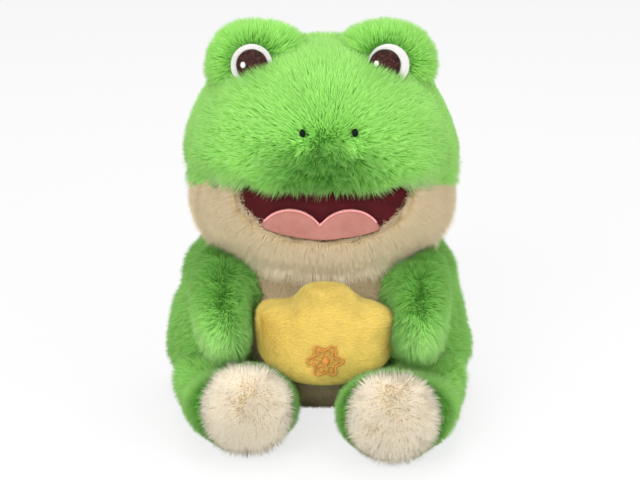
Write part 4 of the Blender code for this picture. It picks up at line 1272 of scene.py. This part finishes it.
# %% [markdown]
# ## Laid threads
# The eyes, nostrils, tongue edge and rosette are embroidered. A satin stitch is a short thread laid flat
# on the cloth beside the next one. Each is placed here as one point with three things stored: along,
# the way the thread runs, facing, the way the cloth faces, and half, half the thread's length. The tree
# puts a thread there, thick in the middle and thin where its ends go into the cloth.

# %% Build the thread tree
THREAD_RADIUS = 0.00022
THREAD_SIZES = {"Thread Radius": THREAD_RADIUS, "Rise": 1.3, "Length Change": 0.12}
THREAD_SHAPE = {"Segments": 6, "Rings": 4, "Radius": 1.0}
THREAD_CHANGE_SEED = 21


def thread_tree():
    """The tree that lays threads at points."""
    tree, given = new_tree("laid_threads", THREAD_SIZES)
    points = store(tree, given["Geometry"], "shade", random_number(tree, given["Seed"]))
    turn = add_node(tree, "FunctionNodeAxesToRotation",
                    {0: stored(tree, "along", "FLOAT_VECTOR"), 1: stored(tree, "facing", "FLOAT_VECTOR")},
                    primary_axis="X", secondary_axis="Z")
    change = number_math(tree, "MULTIPLY", given["Length Change"], random_number(tree, THREAD_CHANGE_SEED))
    half = number_math(tree, "MULTIPLY", stored(tree, "half"), number_math(tree, "SUBTRACT", 1.0, change))
    rise = number_math(tree, "MULTIPLY", given["Thread Radius"], given["Rise"])
    thread = add_node(tree, "GeometryNodeMeshUVSphere", THREAD_SHAPE)
    lying = add_node(tree, "GeometryNodeTransform",
                     {"Geometry": thread.outputs["Mesh"], "Rotation": (0.0, math.pi / 2, 0.0)})
    laid = add_node(tree, "GeometryNodeInstanceOnPoints",
                    {"Points": points, "Instance": lying.outputs[0], "Rotation": turn.outputs[0],
                     "Scale": combined(tree, half, given["Thread Radius"], rise)})
    return close_tree(tree, laid.outputs[0], given["Material"])


THREADS = thread_tree()


def lay_threads(name, laid, paint, radius=THREAD_RADIUS, rise=1.3):
    """Threads as one plain mesh. Each is laid at a place, in a direction, on cloth that faces a way, and has
    half a length."""
    places, *marks = zip(*laid)
    mesh = bpy.data.meshes.new(name)
    mesh.from_pydata([tuple(place) for place in places], [], [])
    for mark_name, values in zip(("along", "facing", "half"), marks):
        put_values(mesh, mark_name, values)
    values = {**THREAD_SIZES, "Thread Radius": radius, "Rise": rise, "Seed": 1, "Material": paint}
    made = grow_on(new_object(name, mesh), THREADS, values)
    drop_values(made, ("along", "facing", "half"))
    made.shade_smooth()
    print(name, "threads:", len(places))
    return new_object(name, made)


def stitches_along(path, pitch, slant, half, lift=0.0):
    """Satin stitches across a path of places and normals, each turned a little along it by slant."""
    laid, travelled, due = [], 0.0, 0.0
    for (point, normal), (after, _) in zip(path, path[1:]):
        step = after - point
        ahead = step.normalized()
        while due <= travelled + step.length:
            place = point + step * ((due - travelled) / step.length) + normal * lift
            laid.append((place, (ahead.cross(normal) + slant * ahead).normalized(), normal, half))
            due += pitch
        travelled += step.length
    return laid


print("thread tree sizes:", THREAD_SIZES)

# %% [markdown]
# ## Thread and velvet
# All the threads share one look: each has its own shade, specks of a second colour lie over some, and
# fine twist runs along them. The velvets of the mouth share another: the colour is mottled between a deep
# tone and a lit tone, painted sheen where the nap lies one way or the other, and has a fine grain of the
# same painted sheen. Each look is one shader group.

# %% Build the thread and velvet materials
SPECK_SIZE, SPECK_SPAN = 0.0011, (0.50, 0.62)
TWIST_SIZE, TWIST_BUMP = 0.00025, {"Strength": 0.25, "Distance": 0.0001}
NAP_LIE_SIZE, NAP_GRAIN_SIZE, NAP_SPAN = 0.009, 0.0004, (0.35, 0.65)
NAP_BUMP = {"Strength": 0.35, "Distance": 0.0003}
NAP_LIE_SHARE = 0.5


def finish_group(group, colour, height, bump):
    """Ends a look with its colour and a normal roughened by a height."""
    normal = add_node(group, "ShaderNodeBump", {"Height": height, **bump}).outputs["Normal"]
    add_node(group, "NodeGroupOutput", {"Colour": colour, "Normal": normal})
    return group


def thread_look():
    """The look that all threads share."""
    numbers = {"Change": 0.25, "Speck Share": 0.0}
    group, given = look_group("thread_look", ("Thread", "Speck"), numbers, normal=True)
    place = object_place(group)
    spots = ramp(group, noise_at(group, place, SPECK_SIZE).outputs["Fac"], *SPECK_SPAN)
    spots = number_math(group, "MULTIPLY", spots, given["Speck Share"])
    base = mixed(group, spots, given["Thread"], given["Speck"])
    bright = number_math(group, "ADD", 1.0, around_middle(group, mark(group, "shade"), given["Change"]))
    colour = mixed(group, 1.0, base, three(group, bright), "MULTIPLY")
    return finish_group(group, colour, noise_at(group, place, TWIST_SIZE).outputs["Fac"], TWIST_BUMP)


def velvet_look():
    """The look that the velvets share: a deep tone with a painted sheen of a lit tone."""
    group, given = look_group("velvet_look", ("Deep", "Lit"), {"Grain Share": 0.5}, normal=True)
    place = object_place(group)
    lie, grain = (noise_at(group, place, size, 2.0).outputs["Fac"] for size in (NAP_LIE_SIZE, NAP_GRAIN_SIZE))
    from_lie = number_math(group, "MULTIPLY", ramp(group, lie, *NAP_SPAN), NAP_LIE_SHARE)
    from_grain = number_math(group, "MULTIPLY", ramp(group, grain, *NAP_SPAN), given["Grain Share"])
    share = number_math(group, "ADD", from_lie, from_grain)
    return finish_group(group, mixed(group, share, given["Deep"], given["Lit"]), grain, NAP_BUMP)


THREAD_LOOK = thread_look()
VELVET_LOOK = velvet_look()


def thread_material(name, colour, change=0.25, speck=(0, 0, 0), speck_share=0.0, shine=0.5):
    """Shiny embroidery thread."""
    return look_material(name, THREAD_LOOK, {"Thread": colour, "Speck": speck},
                         {"Change": change, "Speck Share": speck_share}, roughness=0.42,
                         specular_ior_level=shine)


def velvet_material(name, deep, lit, sheen):
    """Short-napped cloth: deep is its colour, and lit is the tone of its painted sheen."""
    return look_material(name, VELVET_LOOK, {"Deep": deep, "Lit": lit}, {"Grain Share": 0.5}, roughness=0.85,
                         specular_ior_level=0.2, sheen_weight=sheen)


WHITE_THREAD = thread_material("white_thread", (0.68, 0.67, 0.64), change=0.10)
BROWN_THREAD = thread_material("brown_thread", (0.030, 0.010, 0.008), change=0.8, speck=(0.13, 0.035, 0.025),
                               speck_share=0.8, shine=0.15)
BLACK_THREAD = thread_material("black_thread", (0.012, 0.008, 0.008), change=0.5)
NOSE_THREAD = thread_material("nose_thread", (0.003, 0.010, 0.004), change=0.6, shine=0.1)
PINK_THREAD = thread_material("pink_thread", (0.78, 0.33, 0.33), change=0.2)
ORANGE_THREAD = thread_material("orange_thread", (0.62, 0.25, 0.04), change=0.35)
RED_VELVET = velvet_material("red_velvet", (0.040, 0.0018, 0.003), (0.078, 0.0032, 0.007), 0.0)
PINK_VELVET = velvet_material("pink_velvet", (0.33, 0.125, 0.10), (0.40, 0.175, 0.145), 0.1)
print("thread materials: white, brown, black, nose, pink, orange; velvets: red, pink")

# %% [markdown]
# ## Eyes
# Each eye is a white satin-stitched patch let into its mound, with a brown pupil stitched on top in
# level rows, a black edge and one small white stitch for the glint. The fur of the brow covers the
# lower part of the patch.

# %% Shape and stitch a disc
EYE_TILT = math.radians(14.0)
EYE_FACING = Vector((0, -math.cos(EYE_TILT), math.sin(EYE_TILT)))
EYE_UP = Vector((0, math.sin(EYE_TILT), math.cos(EYE_TILT)))
ACROSS = Vector((1, 0, 0))
DISC_RINGS, DISC_SIDES, DISC_BACK = 8, 48, 0.96
ROW_PITCH, ROW_STITCH, ROW_SHIFT = 0.00042, 0.0052, 0.25
STITCH_OVERLAP = 0.0003
RIM_PITCH, RIM_SLANT, RIM_INWARD = 0.00034, 0.25, 0.6


def disc_middle(node, radius):
    """The middle of a tilted disc's face, from the top of the disc, because the head trims its foot."""
    rows = points_of(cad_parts[node].data)
    top = Vector(rows[np.argmax(rows @ np.array(EYE_UP))])
    place = top - EYE_UP * radius
    place.x = middle(node).x
    return place


def finished_bed(name, shape, paint):
    """A closed bmesh as a smooth object."""
    bmesh.ops.recalc_face_normals(shape, faces=shape.faces)
    return painted(object_of(name, shape), paint)


def domed_disc(name, place, radius, rise, depth, paint):
    """A closed disc that faces as the eyes do, with a low dome and a rounded edge."""
    shape = bmesh.new()
    quarters = [math.pi / 2 * ring / DISC_RINGS for ring in range(1, DISC_RINGS + 1)]
    profile = [(radius * math.sin(quarter), rise * math.cos(quarter)) for quarter in quarters]
    profile += [(radius, -depth * 0.5), (radius * DISC_BACK, -depth)]
    turns = [2 * math.pi * step / DISC_SIDES for step in range(DISC_SIDES)]
    loops = [[shape.verts.new(place + ACROSS * (out * math.cos(turn)) + EYE_UP * (out * math.sin(turn))
                              + EYE_FACING * up) for turn in turns] for out, up in profile]
    front = shape.verts.new(place + EYE_FACING * rise)
    back = shape.verts.new(place - EYE_FACING * depth)
    for step in range(DISC_SIDES):
        after = (step + 1) % DISC_SIDES
        shape.faces.new((front, loops[0][step], loops[0][after]))
        shape.faces.new((back, loops[-1][after], loops[-1][step]))
        for inner, outer in zip(loops, loops[1:]):
            shape.faces.new((inner[step], outer[step], outer[after], inner[after]))
    return finished_bed(name, shape, paint)


def row_stitches(place, radius, rise, draw):
    """Level rows of stitches that fill a disc."""
    laid = []
    rows = int(2 * radius / ROW_PITCH)
    for row in range(rows):
        up = -radius + (row + 0.5) * 2 * radius / rows
        reach = math.sqrt(max(radius ** 2 - up ** 2, 0))
        count = max(1, round(2 * reach / ROW_STITCH))
        shift = draw.uniform(-ROW_SHIFT, ROW_SHIFT)
        ends = [-reach] + [-reach + 2 * reach * (step + shift) / count for step in range(1, count)] + [reach]
        for start, end in zip(ends, ends[1:]):
            across = (start + end) / 2
            lift = rise * math.sqrt(max(0, 1 - (across ** 2 + up ** 2) / radius ** 2))
            laid.append((place + ACROSS * across + EYE_UP * up + EYE_FACING * lift, ACROSS, EYE_FACING,
                         (end - start) / 2 + STITCH_OVERLAP))
    return laid


def rim_stitches(place, radius, half_length, lift):
    """Short stitches laid across the edge of a disc."""
    laid = []
    count = int(2 * math.pi * radius / RIM_PITCH)
    for step in range(count):
        turn = 2 * math.pi * step / count
        out = ACROSS * math.cos(turn) + EYE_UP * math.sin(turn)
        ahead = EYE_UP * math.cos(turn) - ACROSS * math.sin(turn)
        laid.append((place + out * (radius - half_length * RIM_INWARD) + EYE_FACING * lift,
                     (out + RIM_SLANT * ahead).normalized(), EYE_FACING, half_length))
    return laid


print("eyes face up by (degrees):", round(math.degrees(EYE_TILT)))

# %% Make the eyes
EYE_RADIUS, EYE_RISE, EYE_DEPTH = 0.0122, 0.00072, 0.002
PUPIL_RADIUS, PUPIL_RISE, PUPIL_DEPTH = 0.0088, 0.0007, 0.001
PUPIL_LIFT = 0.0004
WHITE_RIM_HALF, WHITE_RIM_LIFT = 0.00085, 0.0001
BLACK_RIM_HALF, BLACK_RIM_LIFT, BLACK_RIM_OUT = 0.000765, 0.0002, 0.0003
GLINT_RADIUS, GLINT_ROWS, GLINT_PITCH, GLINT_LIFT = 0.0018, 5, 0.00038, 0.0005
STITCH_SEED = 31

eyes = {}
for side in SIDES:
    draw = random.Random(STITCH_SEED)
    white_place = disc_middle(f"eye_white_{side}", EYE_RADIUS)
    pupil_place = disc_middle(f"pupil_{side}", PUPIL_RADIUS) + EYE_FACING * PUPIL_LIFT
    glint_place = middle(f"glint_{side}") + EYE_FACING * (PUPIL_RISE + GLINT_LIFT)
    white_laid = row_stitches(white_place, EYE_RADIUS, EYE_RISE, draw)
    white_laid += rim_stitches(white_place, EYE_RADIUS, WHITE_RIM_HALF, WHITE_RIM_LIFT)
    pupil_laid = row_stitches(pupil_place, PUPIL_RADIUS, PUPIL_RISE, draw)
    rim_laid = rim_stitches(pupil_place, PUPIL_RADIUS + BLACK_RIM_OUT, BLACK_RIM_HALF, BLACK_RIM_LIFT)
    glint_laid = [(glint_place + EYE_UP * (step * GLINT_PITCH), ACROSS, EYE_FACING,
                   GLINT_RADIUS * math.sqrt(1 - (step / GLINT_ROWS) ** 2))
                  for step in range(1 - GLINT_ROWS, GLINT_ROWS)]
    eyes |= {
        f"white_{side}": domed_disc(f"eye_patch_{side}", white_place, EYE_RADIUS, EYE_RISE, EYE_DEPTH,
                                    WHITE_THREAD),
        f"white_stitches_{side}": lay_threads(f"eye_patch_stitches_{side}", white_laid, WHITE_THREAD),
        f"pupil_{side}": domed_disc(f"pupil_bed_{side}", pupil_place, PUPIL_RADIUS, PUPIL_RISE, PUPIL_DEPTH,
                                    BROWN_THREAD),
        f"pupil_stitches_{side}": lay_threads(f"pupil_stitches_{side}", pupil_laid, BROWN_THREAD),
        f"pupil_rim_{side}": lay_threads(f"pupil_rim_{side}", rim_laid, BLACK_THREAD),
        f"glint_{side}": lay_threads(f"glint_stitches_{side}", glint_laid, WHITE_THREAD, radius=0.00028,
                                     rise=1.0),
    }
print("eye pieces:", len(eyes))

# %% [markdown]
# ## Nostrils
# Each is a small oval of dark thread, pulled in so that it sits at the bottom of a dimple in the fur.
# A short plug behind it reaches the skin, so the oval doesn't hang in the fur.

# %% Make the nostrils
NOSTRIL_HALF = (0.0018, 0.0024)
NOSTRIL_ROWS = 12
NOSTRIL_LIFT = 0.0004
NOSE_FACING = Vector((0, -0.98, 0.17)).normalized()
NOSE_UP = Vector((0, 0.17, 0.98)).normalized()
BED_RISE, STITCH_RISE = 0.0008, 0.0007
PLUG_DEPTH = 0.0070


def nostril_bed(name, place):
    """The oval's rounded bed, drawn back into a plug."""
    shape = bmesh.new()
    bmesh.ops.create_uvsphere(shape, u_segments=20, v_segments=12, radius=1)
    for vertex in shape.verts:
        depth = vertex.co.y * (BED_RISE if vertex.co.y < 0 else PLUG_DEPTH)
        vertex.co = (place + ACROSS * (vertex.co.x * NOSTRIL_HALF[0])
                     + NOSE_UP * (vertex.co.z * NOSTRIL_HALF[1]) - NOSE_FACING * depth)
    return finished_bed(name, shape, NOSE_THREAD)


nostrils = {}
for side in SIDES:
    face = NOSTRILS[side] + Vector((0, NOSTRIL_LIFT, 0))
    nostrils[f"bed_{side}"] = nostril_bed(f"nostril_bed_{side}", face)
    laid = []
    for row in range(NOSTRIL_ROWS):
        up = -1 + (2 * row + 1) / NOSTRIL_ROWS
        reach = math.sqrt(1 - up * up)
        laid.append((face + NOSE_UP * (up * NOSTRIL_HALF[1]) + NOSE_FACING * STITCH_RISE * reach, ACROSS,
                     NOSE_FACING, NOSTRIL_HALF[0] * reach))
    nostrils[f"stitches_{side}"] = lay_threads(f"nostril_stitches_{side}", laid, NOSE_THREAD)
print("nostril pieces:", len(nostrils))

# %% [markdown]
# ## Mouth
# A dark red velvet lining is let into the jaw, with a pink velvet tongue of two lobes sewn on it and a
# row of satin stitch along the tongue's edge. The lining and the tongue are remeshed finely from their
# solids, and the tongue is plumped up between its edges.

# %% Make the lining and the tongue
LINING_VOXEL, TONGUE_VOXEL = 0.0009, 0.00063
TONGUE_PLUMP, TONGUE_EDGE, TONGUE_FRONT = 0.0014, 0.0065, -0.3
TONGUE_LOBE = (0.0165, 0.0195, 0.0180)  # how far out, half width, height
VELVET_STEPS, PLUMPED_STEPS = 4, 2

lining = joined_copy("mouth_velvet", ["mouth_lining"], LINING_VOXEL)
soften(lining, VELVET_STEPS)
painted(lining, RED_VELVET)
tongue = joined_copy("tongue_velvet", ["tongue"], TONGUE_VOXEL)
soften(tongue, VELVET_STEPS)
tongue_low, tongue_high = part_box("tongue")


def lobe_top(across):
    """The height of the tongue's two lobes at a place across."""
    spread, half_width, height = TONGUE_LOBE
    from_lobe = (np.abs(across) - spread) / half_width
    return tongue_high.z - height + height * np.sqrt(np.clip(1 - from_lobe ** 2, 0, None))


rows, normals = points_of(tongue.data), normals_of(tongue.data)
inside = smooth_step(lobe_top(rows[:, 0]) - rows[:, 2], 0, TONGUE_EDGE) * (normals[:, 1] < TONGUE_FRONT)
put_points(tongue.data, shifted(rows, y=-inside * TONGUE_PLUMP))
soften(tongue, PLUMPED_STEPS)
painted(tongue, PINK_VELVET)
print("tongue size (mm):", [round(value * 1000, 1) for value in tongue.dimensions])

# %% Stitch the tongue's edge
EDGING = {"pitch": 0.00036, "slant": 0.25, "half": 0.00080, "lift": 0.0006}
EDGE_MARGIN, EDGE_DROP, EDGE_STEPS = 0.0025, 0.0008, 400
BEFORE_TOY = -0.2
BACKWARD = Vector((0, 1, 0))

tongue_tree = tree_of(["tongue"])
edge_path = []
for across in np.linspace(tongue_low.x + EDGE_MARGIN, tongue_high.x - EDGE_MARGIN, EDGE_STEPS):
    start = Vector((across, BEFORE_TOY, float(lobe_top(across)) - EDGE_DROP))
    point, normal, _, _ = tongue_tree.ray_cast(start, BACKWARD)
    if point is not None:
        edge_path.append((point, normal))
edging = lay_threads("tongue_edge_stitches", stitches_along(edge_path, **EDGING), PINK_THREAD,
                     radius=0.00024, rise=2.0)

# %% [markdown]
# ## Rosette
# The ingot carries a small embroidered mark. Here it is a plain flower: a waved outline, six petals and
# a knot, all in orange satin stitch that follows the swell of the cushion.

# %% Stitch the rosette
ROSETTE_MIDDLE = middle("ingot_motif")
ROSETTE_RADIUS, ROSETTE_WAVE, OUTLINE_STEPS = 0.0085, 0.0018, 241
PETALS, PETAL_BEND, PETAL_STEPS = 6, 0.32, 16
PETAL_START, PETAL_LENGTH = 0.0032, 0.0042
STROKE = {"pitch": 0.00034, "slant": 0.3}
OUTLINE_HALF, PETAL_HALF = 0.00075, 0.0005625
STROKE_LIFT = 0.0022
KNOT_ROWS, KNOT_PITCH, KNOT_RADIUS, LEAST_SQUARE = 5, 0.00045, 0.0026, 1e-8
ingot_tree = BVHTree.FromObject(skins["ingot"], bpy.context.evaluated_depsgraph_get())


def on_ingot(across, up):
    """The place and the normal of the ingot's front at a place seen from the front."""
    start = Vector((ROSETTE_MIDDLE.x + across, BEFORE_TOY, ROSETTE_MIDDLE.z + up))
    point, normal, _, _ = ingot_tree.ray_cast(start, BACKWARD)
    return point + normal * STROKE_LIFT, normal


def stroke(turned, half):
    """Stitches across a stroke whose places are given by how far out they are and by their turn."""
    path = [on_ingot(out * math.cos(turn), out * math.sin(turn)) for out, turn in turned]
    return stitches_along(path, half=half, **STROKE)


turns = np.linspace(0, 2 * math.pi, OUTLINE_STEPS)
stitches = stroke([(ROSETTE_RADIUS + ROSETTE_WAVE * math.cos(PETALS * turn), turn) for turn in turns],
                  OUTLINE_HALF)
for petal in range(PETALS):
    turn = 2 * math.pi * petal / PETALS
    for bend in (-PETAL_BEND, PETAL_BEND):
        stitches += stroke([(PETAL_START + PETAL_LENGTH * share, turn + bend * math.sin(math.pi * share))
                            for share in np.linspace(0, 1, PETAL_STEPS)], PETAL_HALF)
rosette = lay_threads("rosette_stitches", stitches, ORANGE_THREAD, radius=0.00024, rise=1.8)
knot = []
for row in range(-KNOT_ROWS, KNOT_ROWS + 1):
    up = row * KNOT_PITCH
    point, normal = on_ingot(0, up)
    knot.append((point, ACROSS, normal, math.sqrt(max(KNOT_RADIUS ** 2 - up ** 2, LEAST_SQUARE))))
rosette_knot = lay_threads("rosette_knot", knot, ORANGE_THREAD, radius=0.00028, rise=3.0)

# %% [markdown]
# ## What moves with what
# The pieces of the head and the torso ride on bodies of the imported model. The pieces of the arms
# and legs only have their transforms baked into their meshes, and ride on no body.

# %% Helpers for binding
LIMB_PATHS = {  # the limbs whose pieces are baked, with where a bend would start and end, on the left
    "arm": ((0.070, -0.020, 0.095), (0.066, -0.055, 0.080)),
    "leg": ((0.070, -0.010, 0.025), (0.060, -0.060, 0.022)),
}


def bend_with(piece):
    """Bakes the transform of a limb's piece into its mesh."""
    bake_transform(piece)


def bind(piece, body, material_slot, *nodes):
    """Sets what a piece rides on, or for a limb's piece only bakes its transform, and hides the solids that
    it stands for. material_slot, where its finish would come from, is not used.
    """
    if body.startswith(tuple(LIMB_PATHS)):
        bend_with(piece)
    else:
        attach(piece, body)
    if nodes:
        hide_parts(*nodes)


print("limbs that bend:", ", ".join(LIMB_PATHS))

# %% Bind the pieces
BACKINGS = {"lower_head": CREAM_BACKING, "sole": CREAM_BACKING, "ingot": YELLOW_BACKING}

for name, skin in skins.items():
    painted(skin, BACKINGS.get(name.removesuffix("_left").removesuffix("_right"), GREEN_BACKING))
    drop_values(skin.data, ("comb", "grow", "reach", "rough", "sewn", "dim"))

bind(skins["torso"], "torso", "torso_skin", "torso_stuffing", "pellet_bag")
bind(skins["lower_head"], "head", "jaw_skin", "jaw_stuffing")
bind(skins["upper_head"], "head", "head_skin", "head_stuffing")
bind(skins["ingot"], "torso", "ingot_skin", "ingot_stuffing", "ingot_dome")
for side in SIDES:
    bind(skins[f"mound_{side}"], "head", f"eye_mound_skin_{side}", f"eye_stuffing_{side}")
    for limb in ("arm", "leg"):
        bind(skins[f"{limb}_{side}"], f"{limb}_{side}", f"{limb}_skin_{side}", f"{limb}_stuffing_{side}")
    bind(eyes[f"white_stitches_{side}"], "head", f"eye_white_{side}")
    bind(eyes[f"pupil_stitches_{side}"], "head", f"pupil_{side}")
    bind(eyes[f"pupil_rim_{side}"], "head", f"pupil_{side}")
    bind(nostrils[f"stitches_{side}"], "head", f"nostril_{side}")

stands_for = [  # a piece, its body, and the solid that it stands for
    (furs["torso_front"], "torso", "torso_skin"), (furs["belly"], "torso", "belly_panel"),
    (furs["ingot"], "torso", "ingot_skin"), (furs["jaw"], "head", "jaw_skin"),
    (furs["nape"], "head", "nape_skin"), (furs["muzzle"], "head", "head_skin"),
    (lining, "head", "mouth_lining"), (tongue, "head", "tongue"), (edging, "head", "tongue_edging"),
    (rosette, "torso", "ingot_motif"), (rosette_knot, "torso", "ingot_motif_centre"),
]
for side in SIDES:
    stands_for += [
        (furs[f"mound_{side}"], "head", f"eye_mound_skin_{side}"),
        (furs[f"head_front_{side}"], "head", "head_skin"), (furs[f"head_back_{side}"], "head", "head_skin"),
        (furs[f"torso_back_{side}"], "torso", "torso_skin"),
        (furs[f"arm_{side}"], f"arm_{side}", f"arm_skin_{side}"),
        (furs[f"leg_{side}"], f"leg_{side}", f"leg_skin_{side}"),
        (skins[f"sole_{side}"], f"leg_{side}", f"sole_pad_{side}"),
        (furs[f"sole_{side}"], f"leg_{side}", f"sole_pad_{side}"),
        (eyes[f"white_{side}"], "head", f"eye_white_{side}"),
        (eyes[f"pupil_{side}"], "head", f"pupil_{side}"),
        (eyes[f"glint_{side}"], "head", f"glint_{side}"),
        (nostrils[f"bed_{side}"], "head", f"nostril_{side}"),
    ]
for piece, body, node in stands_for:
    bind(piece, body, node, node)

# %% Finish
still_shown = [name for name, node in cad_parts.items() if not node.hide_render]
print("solids still shown:", still_shown)
